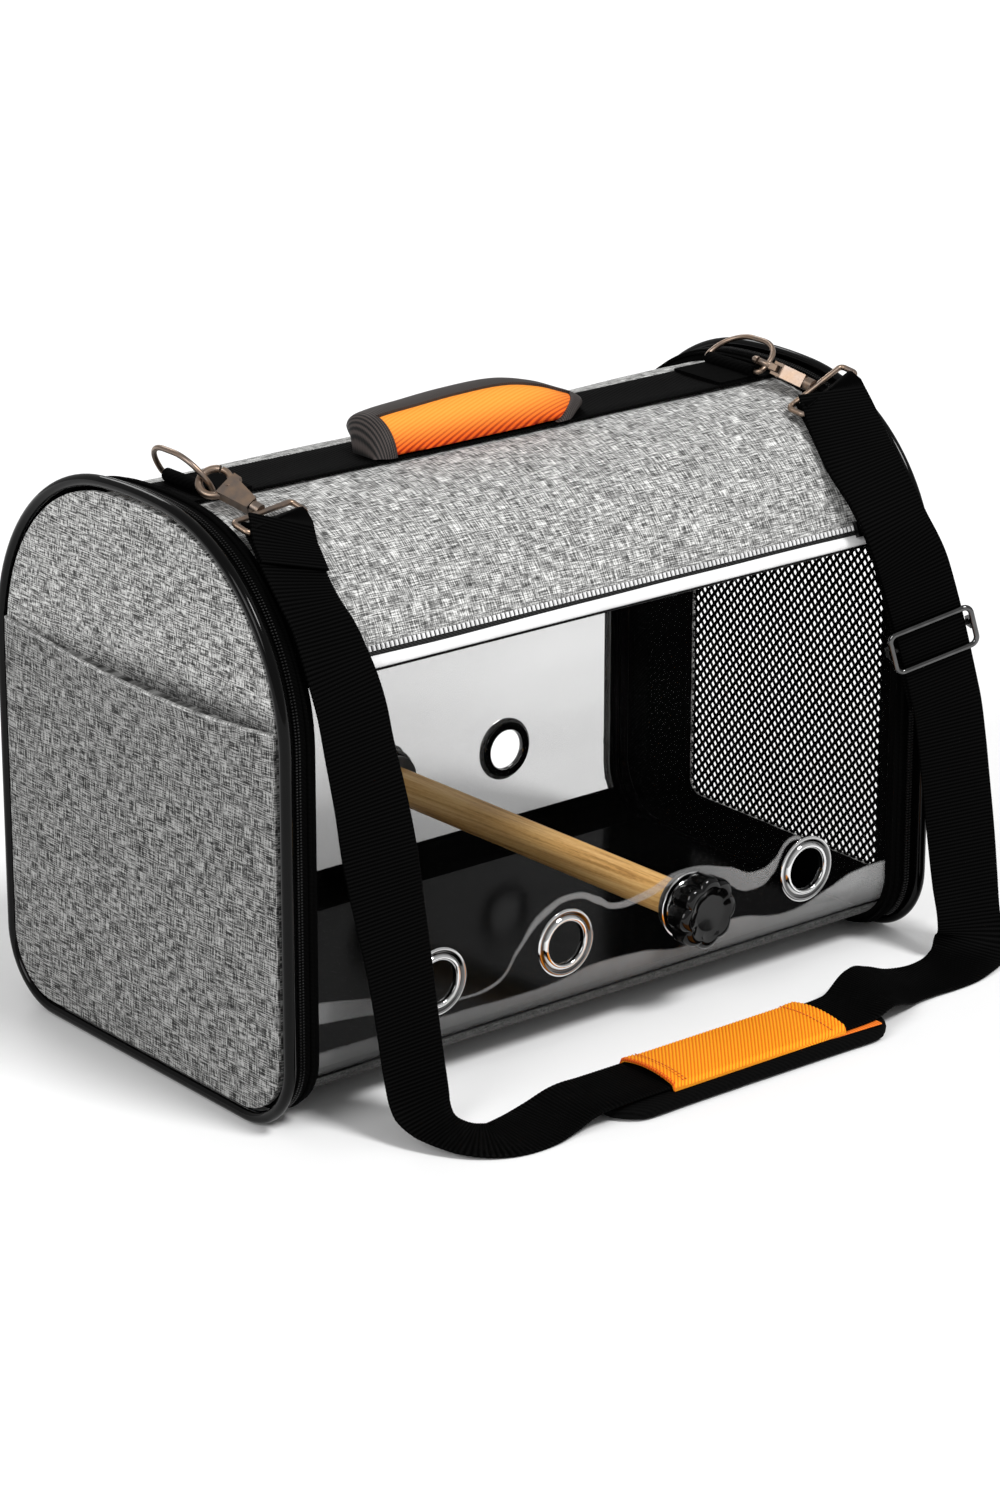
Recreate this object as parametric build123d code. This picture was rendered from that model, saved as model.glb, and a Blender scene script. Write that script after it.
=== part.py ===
from build123d import *
from math import atan2, cos, pi, radians, sin, sqrt
import os

# A soft-sided bird travel carrier. Millimetres. +X runs along its length, the front faces -Y and +Z is up.
# The origin is on the surface that it stands on, under the middle of the body.

# ---- body outline, seen along X ----
END_SPACING = 408.0  # middle of one end panel to the middle of the other
END_WIDTH = 230.0  # end panel, inside its piping
END_HEIGHT = 285.0
BOTTOM_R = 33.0  # rounded bottom corners
SHOULDER_R = 98.0
CROWN_R = 293.0
PIPING_D = 6.0
BODY_INSET = 3.5  # the roof, windows and bottom hang this far inside the ends' outline

# ---- cloth, film and board ----
FABRIC_T = 2.0
WINDOW_T = 1.0
END_PANEL_T = 2.0
END_LINING_T = 0.8
POCKET_T = 1.4
POCKET_HEM_T = 0.5
POCKET_HEM_H = 6.0
MESH_T = 0.8
MESH_BINDING_T = 0.8
TAPE_T = 1.0
BOARD_T = 3.0
BOARD_GAP = 0.4  # all round the floor board

# ---- heights ----
WINDOW_BOTTOM_Z = 24.0
WINDOW_TOP_Z = 221.5
WINDOW_WELT_H = 5.5
WINDOW_ZIP_H = 4.5
POCKET_TOP_Z = 203.5

# ---- mesh window of the right end ----
MESH_HALF_W = 75.0
MESH_MIDDLE_Y = -12.0  # the window sits towards the front of the end
MESH_FOOT_Z = 31.0
MESH_CORNER_R = 9.0
MESH_BINDING_W = 6.0

# ---- hoops and zips beside the ends ----
HOOP_WIRE_D = 3.0
HOOP_SLEEVE_D = 5.4
HOOP_BORE_GAP = 0.05
HOOP_SETBACK = 16.0  # end panel's middle to the hoop
ZIP_SETBACK = 8.0  # end panel's middle to the line where the zip's halves meet
ZIP_SPLIT = 0.6  # gap between the two halves
ZIP_FOOT_Z = 14.0  # the zip ends this high, each side of the bottom
COIL_W = 1.1
COIL_T = 1.4
HINGE_GAP = 0.35  # the bottom tape stops this short of the end's piping

# ---- eyelets: outside, barrel and washer ----
EYELET_D = 35.0
EYELET_HOLE_D = 22.0
EYELET_BARREL_T = 1.2
EYELET_FLANGE_T = 1.8
EYELET_WASHER_T = 1.2
EYELET_WASHER_D = 31.0
EYELET_FIT = 0.05
EYELET_COUNT = 4
EYELET_PITCH = 80.0
FRONT_EYELET_X = -111.0  # first of the row
FRONT_EYELET_Z = 56.5
BACK_EYELET_X = -129.0
BACK_EYELET_Z = 63.0
PERCH_EYELET = 2  # the perch goes through this one of each row, counted from 0

# ---- perch ----
PERCH_D = 18.7
PERCH_WASHER_D = 30.0
PERCH_WASHER_T = 2.0
PERCH_END_GAP = 1.6  # room between washer and eyelet, as the perch lies a little aslant
STUD_D = 6.0
STUD_FIT = 0.05
STUD_IN_DOWEL = 20.0
KNOB_D = 39.0
KNOB_H = 13.0
KNOB_LOBES = 8
KNOB_LOBE_R = 7.0
KNOB_CHAMFER = 1.6
KNOB_ROOF = 3.0  # solid end of the knob beyond its bore
KNOB_STUD_GAP = 1.0
KNOB_GAP = 1.8

# ---- webbing and D-rings ----
WEBBING_W = 38.0
WEBBING_T = 1.6
LAYER_GAP = 0.3  # between two layers of webbing, or webbing and wire
D_RING_X = 172.0
D_RING_WIRE_D = 2.8
D_RING_SPAN = 42.0  # middle of the wire to the middle of the wire
D_RING_DEPTH = 21.0
D_RING_FOOT_R = 3.0
D_RING_CROWN_R = 17.0
D_RING_LEAN = {"left": -32.0, "right": 60.0}  # degrees from upright, towards +X
TAB_TAIL = 24.0

# ---- snap hooks ----
HOOK_ROD_D = 3.8
HOOK_EYE_R = 7.6
HOOK_SEAT_SIDE = 2.0  # the D-ring lies this far to the side of the eye's middle
HOOK_SEAT_GAP = 1.3
HOOK_ON_RING = 6.4  # how far up the D-ring's front leg the hook sits
HOOK_BODY_T = 7.0
HOOK_SLOT_T = 4.0
HOOK_BODY_END = 26.0
HOOK_BODY_W = (5.0, 6.0)  # each side of the eye's middle
HOOK_GATE_D = 3.2
HOOK_GATE_BASE = 20.0  # degrees round the eye, from the strap's side
HOOK_GATE_TIP = 102.0
HOOK_EYE_TIP = 111.0
HOOK_EYE_FOOT = -20.0
HOOK_PIVOT_BACK = 12.0  # degrees from the gate's base back to its pivot
HOOK_PIVOT_R = 3.0
HOOK_LEVER = (4.4, 3.4)
HOOK_LEVER_AT = 42.0
HOOK_RIVET_D = 1.8
HOOK_RIVET_HEAD = 0.4
HOOK_FIT = 0.05
HOOK_SLOT_GAP = 0.4
HOOK_COLLAR_D = 6.6
HOOK_COLLAR_L = 4.6
HOOK_COLLAR_GAP = 0.3
HOOK_POST_D = 3.0
HOOK_POST_L = 5.5
HOOK_LENGTH = 42.0  # D-ring to the bar that holds the strap
HOOK_LOOP_WIRE_D = 3.0
HOOK_LOOP_DEPTH = 10.0
HOOK_LOOP_R = 2.5
HOOK_LOOP_SPARE = 1.0  # length of the loop's bar beyond the webbing
HOOK_DIRECTION = {"left": (0.252, -0.910, -0.330), "right": (0.205, -0.957, -0.210)}
HOOK_FACE = {"left": (-0.50, -0.38, 0.78), "right": (-0.50, 0.10, -0.85)}
LOOP_DIRECTION = {"left": (0.985, 0.14, -0.05), "right": (0.95, -0.20, 0.22)}

# ---- shoulder strap, pad to hook: x, y, z of its middle line, then the direction across it ----
STRAP_LEFT = [
    (58.0, -180.5, 9.9, 0.0, 1.0, 0.0),
    (-4.0, -180.5, 9.9, 0.0, 1.0, 0.0),
    (-66.0, -180.0, 9.9, 0.0, 1.0, 0.0),
    (-80.0, -178.5, 8.4, -0.02, 1.0, 0.02),
    (-95.0, -178.5, 4.2, -0.06, 1.0, 0.04),
    (-111.0, -180.5, 2.2, -0.04, 1.0, 0.05),
    (-125.0, -179.5, 1.5, 0.16, 0.98, 0.02),
    (-135.5, -173.5, 2.0, 0.50, 0.86, 0.0),
    (-142.5, -164.5, 3.4, 0.79, 0.61, -0.06),
    (-147.0, -155.5, 6.5, 0.94, 0.32, -0.12),
    (-149.0, -148.5, 14.0, 0.98, 0.08, -0.16),
    (-149.5, -143.5, 30.0, 0.99, 0.03, -0.14),
    (-150.0, -138.5, 56.0, 1.0, 0.03, -0.05),
    (-151.5, -134.0, 85.0, 1.0, -0.02, 0.03),
    (-154.0, -130.0, 112.0, 0.98, -0.14, 0.12),
    (-157.0, -127.0, 139.0, 0.95, -0.25, 0.17),
    (-160.0, -124.5, 164.0, 0.97, -0.16, 0.10),
    (-164.0, -122.0, 189.0, 0.99, -0.09, -0.05),
    (-167.0, -119.5, 211.0, 0.99, -0.08, -0.12),
    (-170.0, -114.0, 230.0, 0.97, -0.08, -0.20),
    (-171.0, -105.0, 246.0, 0.97, -0.05, -0.24),
    (-172.0, -93.5, 258.5, 0.98, 0.05, -0.20),
    (-170.5, -81.0, 269.0, 0.98, 0.08, -0.16),
    (-167.5, -70.0, 276.5, 0.98, 0.12, -0.10),
]
STRAP_RIGHT = [
    (58.0, -180.5, 9.9, 0.0, -1.0, 0.0),
    (96.0, -180.0, 9.9, 0.0, -1.0, 0.0),
    (112.0, -176.0, 11.8, -0.16, -0.98, -0.06),
    (127.0, -170.0, 10.4, -0.22, -0.96, -0.16),
    (142.0, -164.5, 6.6, -0.14, -0.98, -0.12),
    (157.0, -162.5, 2.8, 0.0, -1.0, -0.04),
    (172.0, -162.5, 1.4, 0.10, -0.99, 0.0),
    (186.0, -161.5, 1.6, 0.30, -0.95, 0.0),
    (196.0, -159.0, 2.8, 0.56, -0.82, 0.02),
    (204.0, -156.0, 5.2, 0.80, -0.60, 0.02),
    (209.5, -152.0, 10.5, 0.93, -0.35, -0.04),
    (212.0, -147.5, 22.0, 0.97, -0.24, -0.08),
    (213.0, -143.0, 39.0, 0.95, -0.30, -0.04),
    (212.5, -139.0, 65.0, 0.94, -0.34, 0.08),
    (211.0, -135.5, 93.0, 0.93, -0.34, 0.14),
    (209.5, -133.5, 113.0, 0.925, -0.33, 0.17),
    (206.5, -131.3, 136.0, 0.925, -0.325, 0.18),
    (188.5, -125.3, 204.0, 0.925, -0.325, 0.18),
    (179.0, -121.0, 229.5, 0.96, -0.14, 0.20),
    (175.5, -110.5, 248.5, 0.96, -0.10, 0.26),
    (175.0, -95.5, 263.0, 0.94, -0.13, 0.32),
    (179.0, -79.0, 277.0, 0.94, -0.15, 0.28),
]
FLAP_STATION_COUNT = 2  # the left strap's sewn end runs back over this many stations
ADJUSTER_STATION_COUNT = 16  # stations of the right strap below its long straight stretch
ADJUSTER_AT = 0.515  # share of that stretch below the adjuster
ADJUSTER_W = 46.0
ADJUSTER_H = 21.0
ADJUSTER_WIRE_D = 3.0
ADJUSTER_CORNER_R = 4.0
ADJUSTER_BAR_D = 3.2
ADJUSTER_LUG_W = 3.0
ADJUSTER_LUG_H = 5.4

# ---- shoulder pad ----
PAD_X = (-72.0, 112.0)
PAD_Y = -180.5
PAD_W = 54.0
PAD_T = 8.0
PAD_END_R = 22.0
PAD_BASE_T = 0.8
PAD_BASE_W = 43.0
PAD_BASE_X = (-66.0, 106.0)
SLEEVE_X = (-36.0, 76.0)
SLEEVE_T = 1.2
SLEEVE_GAP = 0.3
SLEEVE_SIDE_GAP = 0.8

# ---- carrying handle: x, width, height ----
HANDLE_STATIONS = [
    (-74.0, 38.0, 13.5),
    (-64.0, 40.0, 17.5),
    (-40.0, 42.0, 20.0),
    (-14.0, 42.0, 21.5),
    (16.0, 42.0, 21.0),
    (38.0, 41.0, 16.5),
    (54.0, 39.0, 11.5),
    (66.0, 37.0, 10.0),
]
HANDLE_T = 4.5
HANDLE_GAP = 0.4
HANDLE_BINDING_T = 1.0
HANDLE_BINDING_L = 9.0

# ---- zip sliders and pulls ----
SLIDER_L = 11.0
SLIDER_W = 8.0
SLIDER_T = 2.6
SLIDER_GAP = 0.3
SLIDER_POST_T = 1.5
PULL_L = 24.0
PULL_W = 7.0
PULL_T = 1.4
PULL_EYE_D = 4.2
PULL_SIDE_GAP = 0.2
PULL_PIN_D = 1.6
PULL_PIN_FIT = 0.05
DOOR_SLIDER_Z = 46.0
FRONT_SLIDER_X = 168.0
BACK_SLIDER_X = -160.0

os.makedirs("parts", exist_ok=True)

HALF_W = END_WIDTH / 2
HALF_L = END_SPACING / 2
BASE_Z = PIPING_D
CROWN_CENTRE_Z = BASE_Z + END_HEIGHT - CROWN_R
SHOULDER_Y = HALF_W - SHOULDER_R
SHOULDER_Z = CROWN_CENTRE_Z + sqrt((CROWN_R - SHOULDER_R) ** 2 - SHOULDER_Y**2)
SHOULDER_END = atan2(SHOULDER_Z - CROWN_CENTRE_Z, SHOULDER_Y)
FLAT_HALF_W = HALF_W - BOTTOM_R
WALL = -BODY_INSET
WALL_Y = HALF_W - BODY_INSET
ROOF_TOP_Z = BASE_Z + END_HEIGHT - BODY_INSET
RIDGE_TOP_Z = ROOF_TOP_Z + WEBBING_T
WELT_TOP_Z = WINDOW_TOP_Z + WINDOW_WELT_H
ROOF_EDGE_Z = WELT_TOP_Z + WINDOW_ZIP_H
HOOP_X = HALF_L - HOOP_SETBACK
BODY_END_X = HOOP_X - HOOP_SLEEVE_D / 2
ZIP_X = HALF_L - ZIP_SETBACK
FAR = 2 * END_SPACING  # beyond the whole body
ALL = (-FAR, FAR)
UP_FROM_BASE = (Align.CENTER, Align.CENTER, Align.MIN)
SIDES = {"left": -1, "right": 1}
FULL_TURN = 360.0  # degrees


def save(name, *shapes):
    solids = [solid for shape in shapes for solid in shape.solids()]
    export_step(solids[0] if len(solids) == 1 else Compound(solids), f"parts/{name}.step")


def block(x, y, z):
    """A box from the two limits of each axis."""
    size = [abs(high - low) for low, high in (x, y, z)]
    middle = [(low + high) / 2 for low, high in (x, y, z)]
    return Pos(*middle) * Box(*size)


def arch(x, half_width, foot_z, corner_r):
    """A closed outline in the plane at x, with the body's shoulders and crown and its own width and foot."""
    shoulder_r = half_width - SHOULDER_Y
    crown_r = shoulder_r + CROWN_R - SHOULDER_R
    corner_y, corner_z = half_width - corner_r, foot_z + corner_r

    def at(centre_y, centre_z, r, angle, side):
        return (x, side * (centre_y + r * cos(angle)), centre_z + r * sin(angle))

    edges = []
    for side in (1, -1):
        corner = [at(corner_y, corner_z, corner_r, -pi / 2 * k, side) for k in (1, 0.5, 0)]
        shoulder = [at(SHOULDER_Y, SHOULDER_Z, shoulder_r, SHOULDER_END * k, side) for k in (0, 0.5, 1)]
        edges.append(Edge.make_three_point_arc(*corner))
        edges.append(Edge.make_line(corner[2], shoulder[0]))
        edges.append(Edge.make_three_point_arc(*shoulder))
    crown = [at(0, CROWN_CENTRE_Z, crown_r, SHOULDER_END, side) for side in (1, -1)]
    edges.append(Edge.make_three_point_arc(crown[0], (x, 0, CROWN_CENTRE_Z + crown_r), crown[1]))
    edges.append(Edge.make_line((x, -corner_y, foot_z), (x, corner_y, foot_z)))
    return Wire(edges)


def outline(x, grow):
    """The ends' outline in the plane at x, moved outwards by grow all round."""
    return arch(x, HALF_W + grow, BASE_Z - grow, BOTTOM_R + grow)


def slab(wire, thickness):
    return extrude(Face(wire), amount=thickness, dir=(1, 0, 0))


def plate(x, grow):
    """A slab of the outline's shape between two X planes."""
    return slab(outline(x[0], grow), x[1] - x[0])


def ring(x, outer, inner):
    return plate(x, outer) - plate(x, inner)


def mesh_plate(x, grow):
    """A slab of the mesh window's shape between two X planes."""
    plane = arch(x[0], MESH_HALF_W + grow, MESH_FOOT_Z - grow, MESH_CORNER_R + grow)
    return Pos(0, MESH_MIDDLE_Y, 0) * slab(plane, x[1] - x[0])


def between(side, near, far):
    """Two X limits on one side of the body, in rising order."""
    return tuple(sorted((side * near, side * far)))


def rod(path, diameter):
    """A round bar along a path."""
    return sweep(Plane(path @ 0, z_dir=path % 0) * Circle(diameter / 2), path=path)


def rounded_loop(span, depth, r_near, r_far):
    """A closed loop in XY: a bar of that span along the Y axis, and the far side at x = depth."""
    half = span / 2
    turn = 1 - cos(radians(45))
    near = [(r_near, half), (r_near * turn, half - r_near * turn), (0, half - r_near)]
    far = [(depth, half - r_far), (depth - r_far * turn, half - r_far * turn), (depth - r_far, half)]
    edges = [
        Edge.make_line(near[2], (0, r_near - half)),
        Edge.make_line(far[0], (depth, r_far - half)),
        Edge.make_line(near[0], far[2]),
        Edge.make_line((r_near, -half), (depth - r_far, -half)),
    ]
    for corner in (near, far):
        edges.append(Edge.make_three_point_arc(*corner))
        edges.append(Edge.make_three_point_arc(*[(x, -y) for x, y in corner]))
    return Wire(edges)


def frame_at(origin, along, across):
    """A plane with local x along one direction and local y as near as may be to another."""
    along = Vector(*along).normalized()
    across = Vector(*across)
    across = (across - along * across.dot(along)).normalized()
    return Plane(origin, x_dir=along, z_dir=along.cross(across))


def ribbon(stations, lifts):
    """Webbing through the stations, moved out from its middle surface by a lift at each."""
    middles = [Vector(*station[:3]) for station in stations]
    sections = []
    for i, (station, lift) in enumerate(zip(stations, lifts)):
        ahead = middles[min(i + 1, len(middles) - 1)] - middles[max(i - 1, 0)]
        across = Vector(*station[3:]).normalized()
        out = across.cross(ahead).normalized()
        middle = middles[i] + out * lift
        side, face = across * (WEBBING_W / 2), out * (WEBBING_T / 2)
        corners = [middle - side - face, middle + side - face, middle + side + face, middle - side + face]
        sections.append(Wire.make_polygon(corners, close=True))
    return Solid.make_loft(sections, ruled=True)


# ---------------------------------------------------------------- roof, windows and bottom
WALL_SPAN = (-BODY_END_X, BODY_END_X)
wall_cloth = ring(WALL_SPAN, WALL, WALL - FABRIC_T)
wall_film = ring(WALL_SPAN, WALL, WALL - WINDOW_T)

save("roof_panel", wall_cloth & block(ALL, ALL, (ROOF_EDGE_Z, FAR)))
save("bottom_panel", wall_cloth & block(ALL, ALL, (0, WINDOW_BOTTOM_Z)))
board_z = BASE_Z + BODY_INSET + FABRIC_T
board_half_l = BODY_END_X - BOARD_GAP
save(
    "floor_board",
    block((-board_half_l, board_half_l), (-FLAT_HALF_W, FLAT_HALF_W), (board_z, board_z + BOARD_T)),
)


def eyelet(side, x, z):
    """A metal eyelet: a flange outside, a barrel through the film and a washer inside."""
    r_hole, r_barrel = EYELET_HOLE_D / 2, EYELET_HOLE_D / 2 + EYELET_BARREL_T
    r_flange, r_washer = EYELET_D / 2, EYELET_WASHER_D / 2
    out, inside, dome = EYELET_FLANGE_T, -WINDOW_T - EYELET_WASHER_T, EYELET_FLANGE_T / 3
    section = Polyline(
        (r_hole, inside),
        (r_washer, inside),
        (r_washer, -WINDOW_T),
        (r_barrel, -WINDOW_T),
        (r_barrel, 0),
        (r_flange, 0),
        (r_flange, dome),
        (r_flange - dome, out),
        (r_barrel, out),
        (r_hole, dome),
        close=True,
    )
    turned = revolve(Face(Wire(section.edges())), Axis.Y)
    return Pos(x, side * WALL_Y, z) * Rot(0, 0, 0 if side > 0 else 180) * turned


rows = {
    "front": (-1, (-FAR, 0), [FRONT_EYELET_X + i * EYELET_PITCH for i in range(EYELET_COUNT)], FRONT_EYELET_Z),
    "back": (1, (0, FAR), [BACK_EYELET_X + i * EYELET_PITCH for i in range(EYELET_COUNT)], BACK_EYELET_Z),
}
eyelet_hole = Rot(90, 0, 0) * Cylinder(EYELET_HOLE_D / 2 + EYELET_BARREL_T + EYELET_FIT, 6 * WINDOW_T)
for name, (side, half_space, xs, z) in rows.items():
    window = wall_film & block(ALL, half_space, (WINDOW_BOTTOM_Z, WINDOW_TOP_Z))
    for x in xs:
        window -= Pos(x, side * WALL_Y, z) * eyelet_hole
    save(f"{name}_window", window)
    save(f"{name}_eyelets", *[eyelet(side, x, z) for x in xs])

save("window_welts", wall_cloth & block(ALL, ALL, (WINDOW_TOP_Z, WELT_TOP_Z)))
zip_z = (WELT_TOP_Z + ROOF_EDGE_Z) / 2
zip_tapes = wall_film & block(ALL, ALL, (WELT_TOP_Z, ROOF_EDGE_Z))
window_coils = ring(WALL_SPAN, WALL + COIL_T, WALL) & block(ALL, ALL, (zip_z - COIL_W, zip_z + COIL_W))
save("window_zips", zip_tapes + window_coils)

# ---------------------------------------------------------------- hoops and gussets
above_foot = block(ALL, ALL, (ZIP_FOOT_Z, FAR))
gusset_edge = ZIP_X - ZIP_SPLIT / 2
door_edge = ZIP_X + ZIP_SPLIT / 2
hoop_paths = [outline(side * HOOP_X, -HOOP_SLEEVE_D / 2) for side in SIDES.values()]
save("hoop_wires", *[rod(path, HOOP_WIRE_D) for path in hoop_paths])
hoop_bore_d = HOOP_WIRE_D + 2 * HOOP_BORE_GAP
save("hoop_sleeves", *[rod(path, HOOP_SLEEVE_D) - rod(path, hoop_bore_d) for path in hoop_paths])

gussets, body_coils = [], []
hinge_edge = HALF_L - PIPING_D / 2 + HINGE_GAP
for side in SIDES.values():
    hinge_tape = block(
        between(side, gusset_edge - TAPE_T, hinge_edge), (-FLAT_HALF_W, FLAT_HALF_W), (BASE_Z - TAPE_T, BASE_Z)
    )
    gussets.append(ring(between(side, BODY_END_X, gusset_edge), TAPE_T, 0) + hinge_tape)
    coil_x = between(side, gusset_edge - COIL_W, gusset_edge)
    body_coils.append(ring(coil_x, TAPE_T + COIL_T, TAPE_T) & above_foot)
save("gussets", *gussets)
save("body_zip_coils", *body_coils)

# ---------------------------------------------------------------- the two ends, which open as doors
tape_end = HALF_L - sqrt((PIPING_D / 2) ** 2 - (PIPING_D / 2 - TAPE_T) ** 2)
inner_face, outer_face = HALF_L - END_PANEL_T / 2, HALF_L + END_PANEL_T / 2
for name, side in SIDES.items():
    save(f"{name}_door_zip_tape", ring(between(side, door_edge, tape_end), TAPE_T, 0) & above_foot)
    coil_x = between(side, door_edge, door_edge + COIL_W)
    save(f"{name}_door_zip_coil", ring(coil_x, TAPE_T + COIL_T, TAPE_T) & above_foot)
    save(f"{name}_door_piping", rod(outline(side * HALF_L, PIPING_D / 2), PIPING_D))

pocket_face = outer_face + POCKET_T
pocket = plate(between(-1, outer_face, pocket_face), 0) & block(ALL, ALL, (0, POCKET_TOP_Z))
hem_z = (POCKET_TOP_Z - POCKET_HEM_H, POCKET_TOP_Z)
hem = plate(between(-1, pocket_face, pocket_face + POCKET_HEM_T), 0) & block(ALL, ALL, hem_z)
save("left_door_panel", plate(between(-1, inner_face, outer_face), 0))
save("left_door_pocket", pocket + hem)

lining_x = between(1, inner_face - END_LINING_T, inner_face)
panel_x = between(1, inner_face, outer_face)
binding_x = between(1, outer_face, outer_face + MESH_BINDING_T)
save("right_door_panel", plate(panel_x, 0) - mesh_plate(panel_x, 0))
save("right_door_lining", plate(lining_x, 0) - mesh_plate(lining_x, 0))
save("right_door_mesh", mesh_plate(between(1, HALF_L - MESH_T / 2, HALF_L + MESH_T / 2), 0))
save("right_door_mesh_binding", mesh_plate(binding_x, MESH_BINDING_W) - mesh_plate(binding_x, 0))

# ---------------------------------------------------------------- perch
perch_points = {name: Vector(xs[PERCH_EYELET], side * WALL_Y, z) for name, (side, _, xs, z) in rows.items()}
perch_line = perch_points["back"] - perch_points["front"]
inside_gap = WINDOW_T + EYELET_WASHER_T + PERCH_END_GAP
dowel_inset = inside_gap + PERCH_WASHER_T
dowel_start = perch_points["front"] + perch_line.normalized() * dowel_inset
dowel = Plane(dowel_start, z_dir=perch_line) * Cylinder(
    PERCH_D / 2, perch_line.length - 2 * dowel_inset, align=UP_FROM_BASE
)
knob_base = EYELET_FLANGE_T + KNOB_GAP
stud_length = STUD_IN_DOWEL + dowel_inset + knob_base + KNOB_H - KNOB_ROOF - KNOB_STUD_GAP


def knob():
    """A lobed knob standing on local z = 0, with a blind bore for its stud."""
    body = Cylinder(KNOB_D / 2 - KNOB_LOBE_R / 2, KNOB_H, align=UP_FROM_BASE)
    for place in PolarLocations(KNOB_D / 2 - KNOB_LOBE_R, KNOB_LOBES):
        body += place * Cylinder(KNOB_LOBE_R, KNOB_H, align=UP_FROM_BASE)
    body = chamfer(body.faces().sort_by(Axis.Z)[-1].edges(), KNOB_CHAMFER)
    return body - Cylinder(STUD_D / 2 + STUD_FIT, KNOB_H - KNOB_ROOF, align=UP_FROM_BASE)


studs, washers = [], []
for name, out in (("front", perch_line * -1), ("back", perch_line)):
    end = Plane(perch_points[name], z_dir=out)
    stud_place = end * Pos(0, 0, -dowel_inset - STUD_IN_DOWEL)
    bore_r = STUD_D / 2 + STUD_FIT
    dowel -= stud_place * Cylinder(bore_r, STUD_IN_DOWEL + PERCH_WASHER_T, align=UP_FROM_BASE)
    studs.append(stud_place * Cylinder(STUD_D / 2, stud_length, align=UP_FROM_BASE))
    washer = Cylinder(PERCH_WASHER_D / 2, PERCH_WASHER_T, align=UP_FROM_BASE) - Cylinder(bore_r, PERCH_D)
    washers.append(end * Pos(0, 0, -dowel_inset) * washer)
    save(f"{name}_perch_knob", end * Pos(0, 0, knob_base) * knob())
save("perch_dowel", dowel)
save("perch_studs", *studs)
save("perch_washers", *washers)

# ---------------------------------------------------------------- ridge webbing and D-rings
ridge_y = (-WEBBING_W / 2, WEBBING_W / 2)
save("ridge_webbing", ring(WALL_SPAN, WALL + WEBBING_T, WALL) & block(ALL, ridge_y, (ROOF_EDGE_Z, FAR)))
tab_bore_r = D_RING_WIRE_D / 2 + LAYER_GAP
d_ring_z = RIDGE_TOP_Z + tab_bore_r + WEBBING_T
tab_half_w = D_RING_SPAN / 2 - D_RING_FOOT_R
ring_legs, tabs = {}, []
for name, side in SIDES.items():
    lean = radians(D_RING_LEAN[name])
    up_leg = Vector(sin(lean), 0, cos(lean))
    bar = Vector(side * D_RING_X, 0, d_ring_z)
    ring_plane = Plane(bar, x_dir=up_leg, z_dir=up_leg.cross(Vector(0, 1, 0)))
    loop = rounded_loop(D_RING_SPAN, D_RING_DEPTH, D_RING_FOOT_R, D_RING_CROWN_R)
    save(f"{name}_d_ring", ring_plane * rod(loop, D_RING_WIRE_D))
    fold = Cylinder(tab_bore_r + WEBBING_T, 2 * tab_half_w) - Cylinder(tab_bore_r, 2 * D_RING_SPAN)
    tail_x = between(side, D_RING_X - TAB_TAIL, D_RING_X)
    tail = block(tail_x, (-tab_half_w, tab_half_w), (RIDGE_TOP_Z, RIDGE_TOP_Z + WEBBING_T))
    tabs.append(Pos(bar) * Rot(90, 0, 0) * fold + tail)
    ring_legs[name] = bar + up_leg * HOOK_ON_RING - Vector(0, D_RING_SPAN / 2, 0)
save("d_ring_tabs", *tabs)

# ---------------------------------------------------------------- snap hooks
# Local frame of a hook: the D-ring's wire at the origin, x towards the strap, z out of the hook's flat face.
eye_reach = HOOK_EYE_R - HOOK_ROD_D / 2 - D_RING_WIRE_D / 2 - HOOK_SEAT_GAP
eye_x = sqrt(eye_reach**2 - HOOK_SEAT_SIDE**2)
eye_y = HOOK_SEAT_SIDE
loop_span = WEBBING_W + 2 * HOOK_LOOP_R + HOOK_LOOP_SPARE


def on_eye(degrees_round):
    angle = radians(degrees_round)
    return (eye_x + HOOK_EYE_R * cos(angle), eye_y + HOOK_EYE_R * sin(angle))


def eye_arc(start, end):
    return Edge.make_three_point_arc(on_eye(start), on_eye((start + end) / 2), on_eye(end))


pivot = on_eye(HOOK_GATE_BASE - HOOK_PIVOT_BACK)
neck_x = eye_x + HOOK_EYE_R - HOOK_ROD_D / 2
shoulder_x = neck_x + HOOK_BODY_W[1]
body_low, body_high = eye_y - HOOK_BODY_W[0], eye_y + HOOK_BODY_W[1]
collar_r = HOOK_COLLAR_D / 2


def hook_body():
    sides = Polyline(
        (neck_x, body_low),
        (neck_x, body_high),
        (shoulder_x, body_high),
        (HOOK_BODY_END, eye_y + collar_r),
        (HOOK_BODY_END, eye_y - collar_r),
        close=True,
    )
    blade = extrude(Face(Wire(sides.edges())), HOOK_BODY_T / 2, both=True)
    slot_x = (neck_x - HOOK_PIVOT_R, pivot[0] + HOOK_PIVOT_R + HOOK_SLOT_GAP)
    slot_y = (pivot[1] - HOOK_PIVOT_R - HOOK_SLOT_GAP, body_high + HOOK_LEVER[1])
    slot = block(slot_x, slot_y, (-HOOK_SLOT_T / 2, HOOK_SLOT_T / 2))
    rivet_hole = Pos(*pivot) * Cylinder(HOOK_RIVET_D / 2, 2 * HOOK_BODY_T)
    post_bore = Pos(HOOK_BODY_END, eye_y, 0) * Rot(0, 90, 0) * Cylinder(
        HOOK_POST_D / 2 + HOOK_FIT, 2 * (HOOK_POST_L + HOOK_SLOT_GAP)
    )
    eye = rod(eye_arc(HOOK_EYE_TIP - FULL_TURN, HOOK_EYE_FOOT), HOOK_ROD_D)
    return eye + blade - slot - rivet_hole - post_bore


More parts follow.
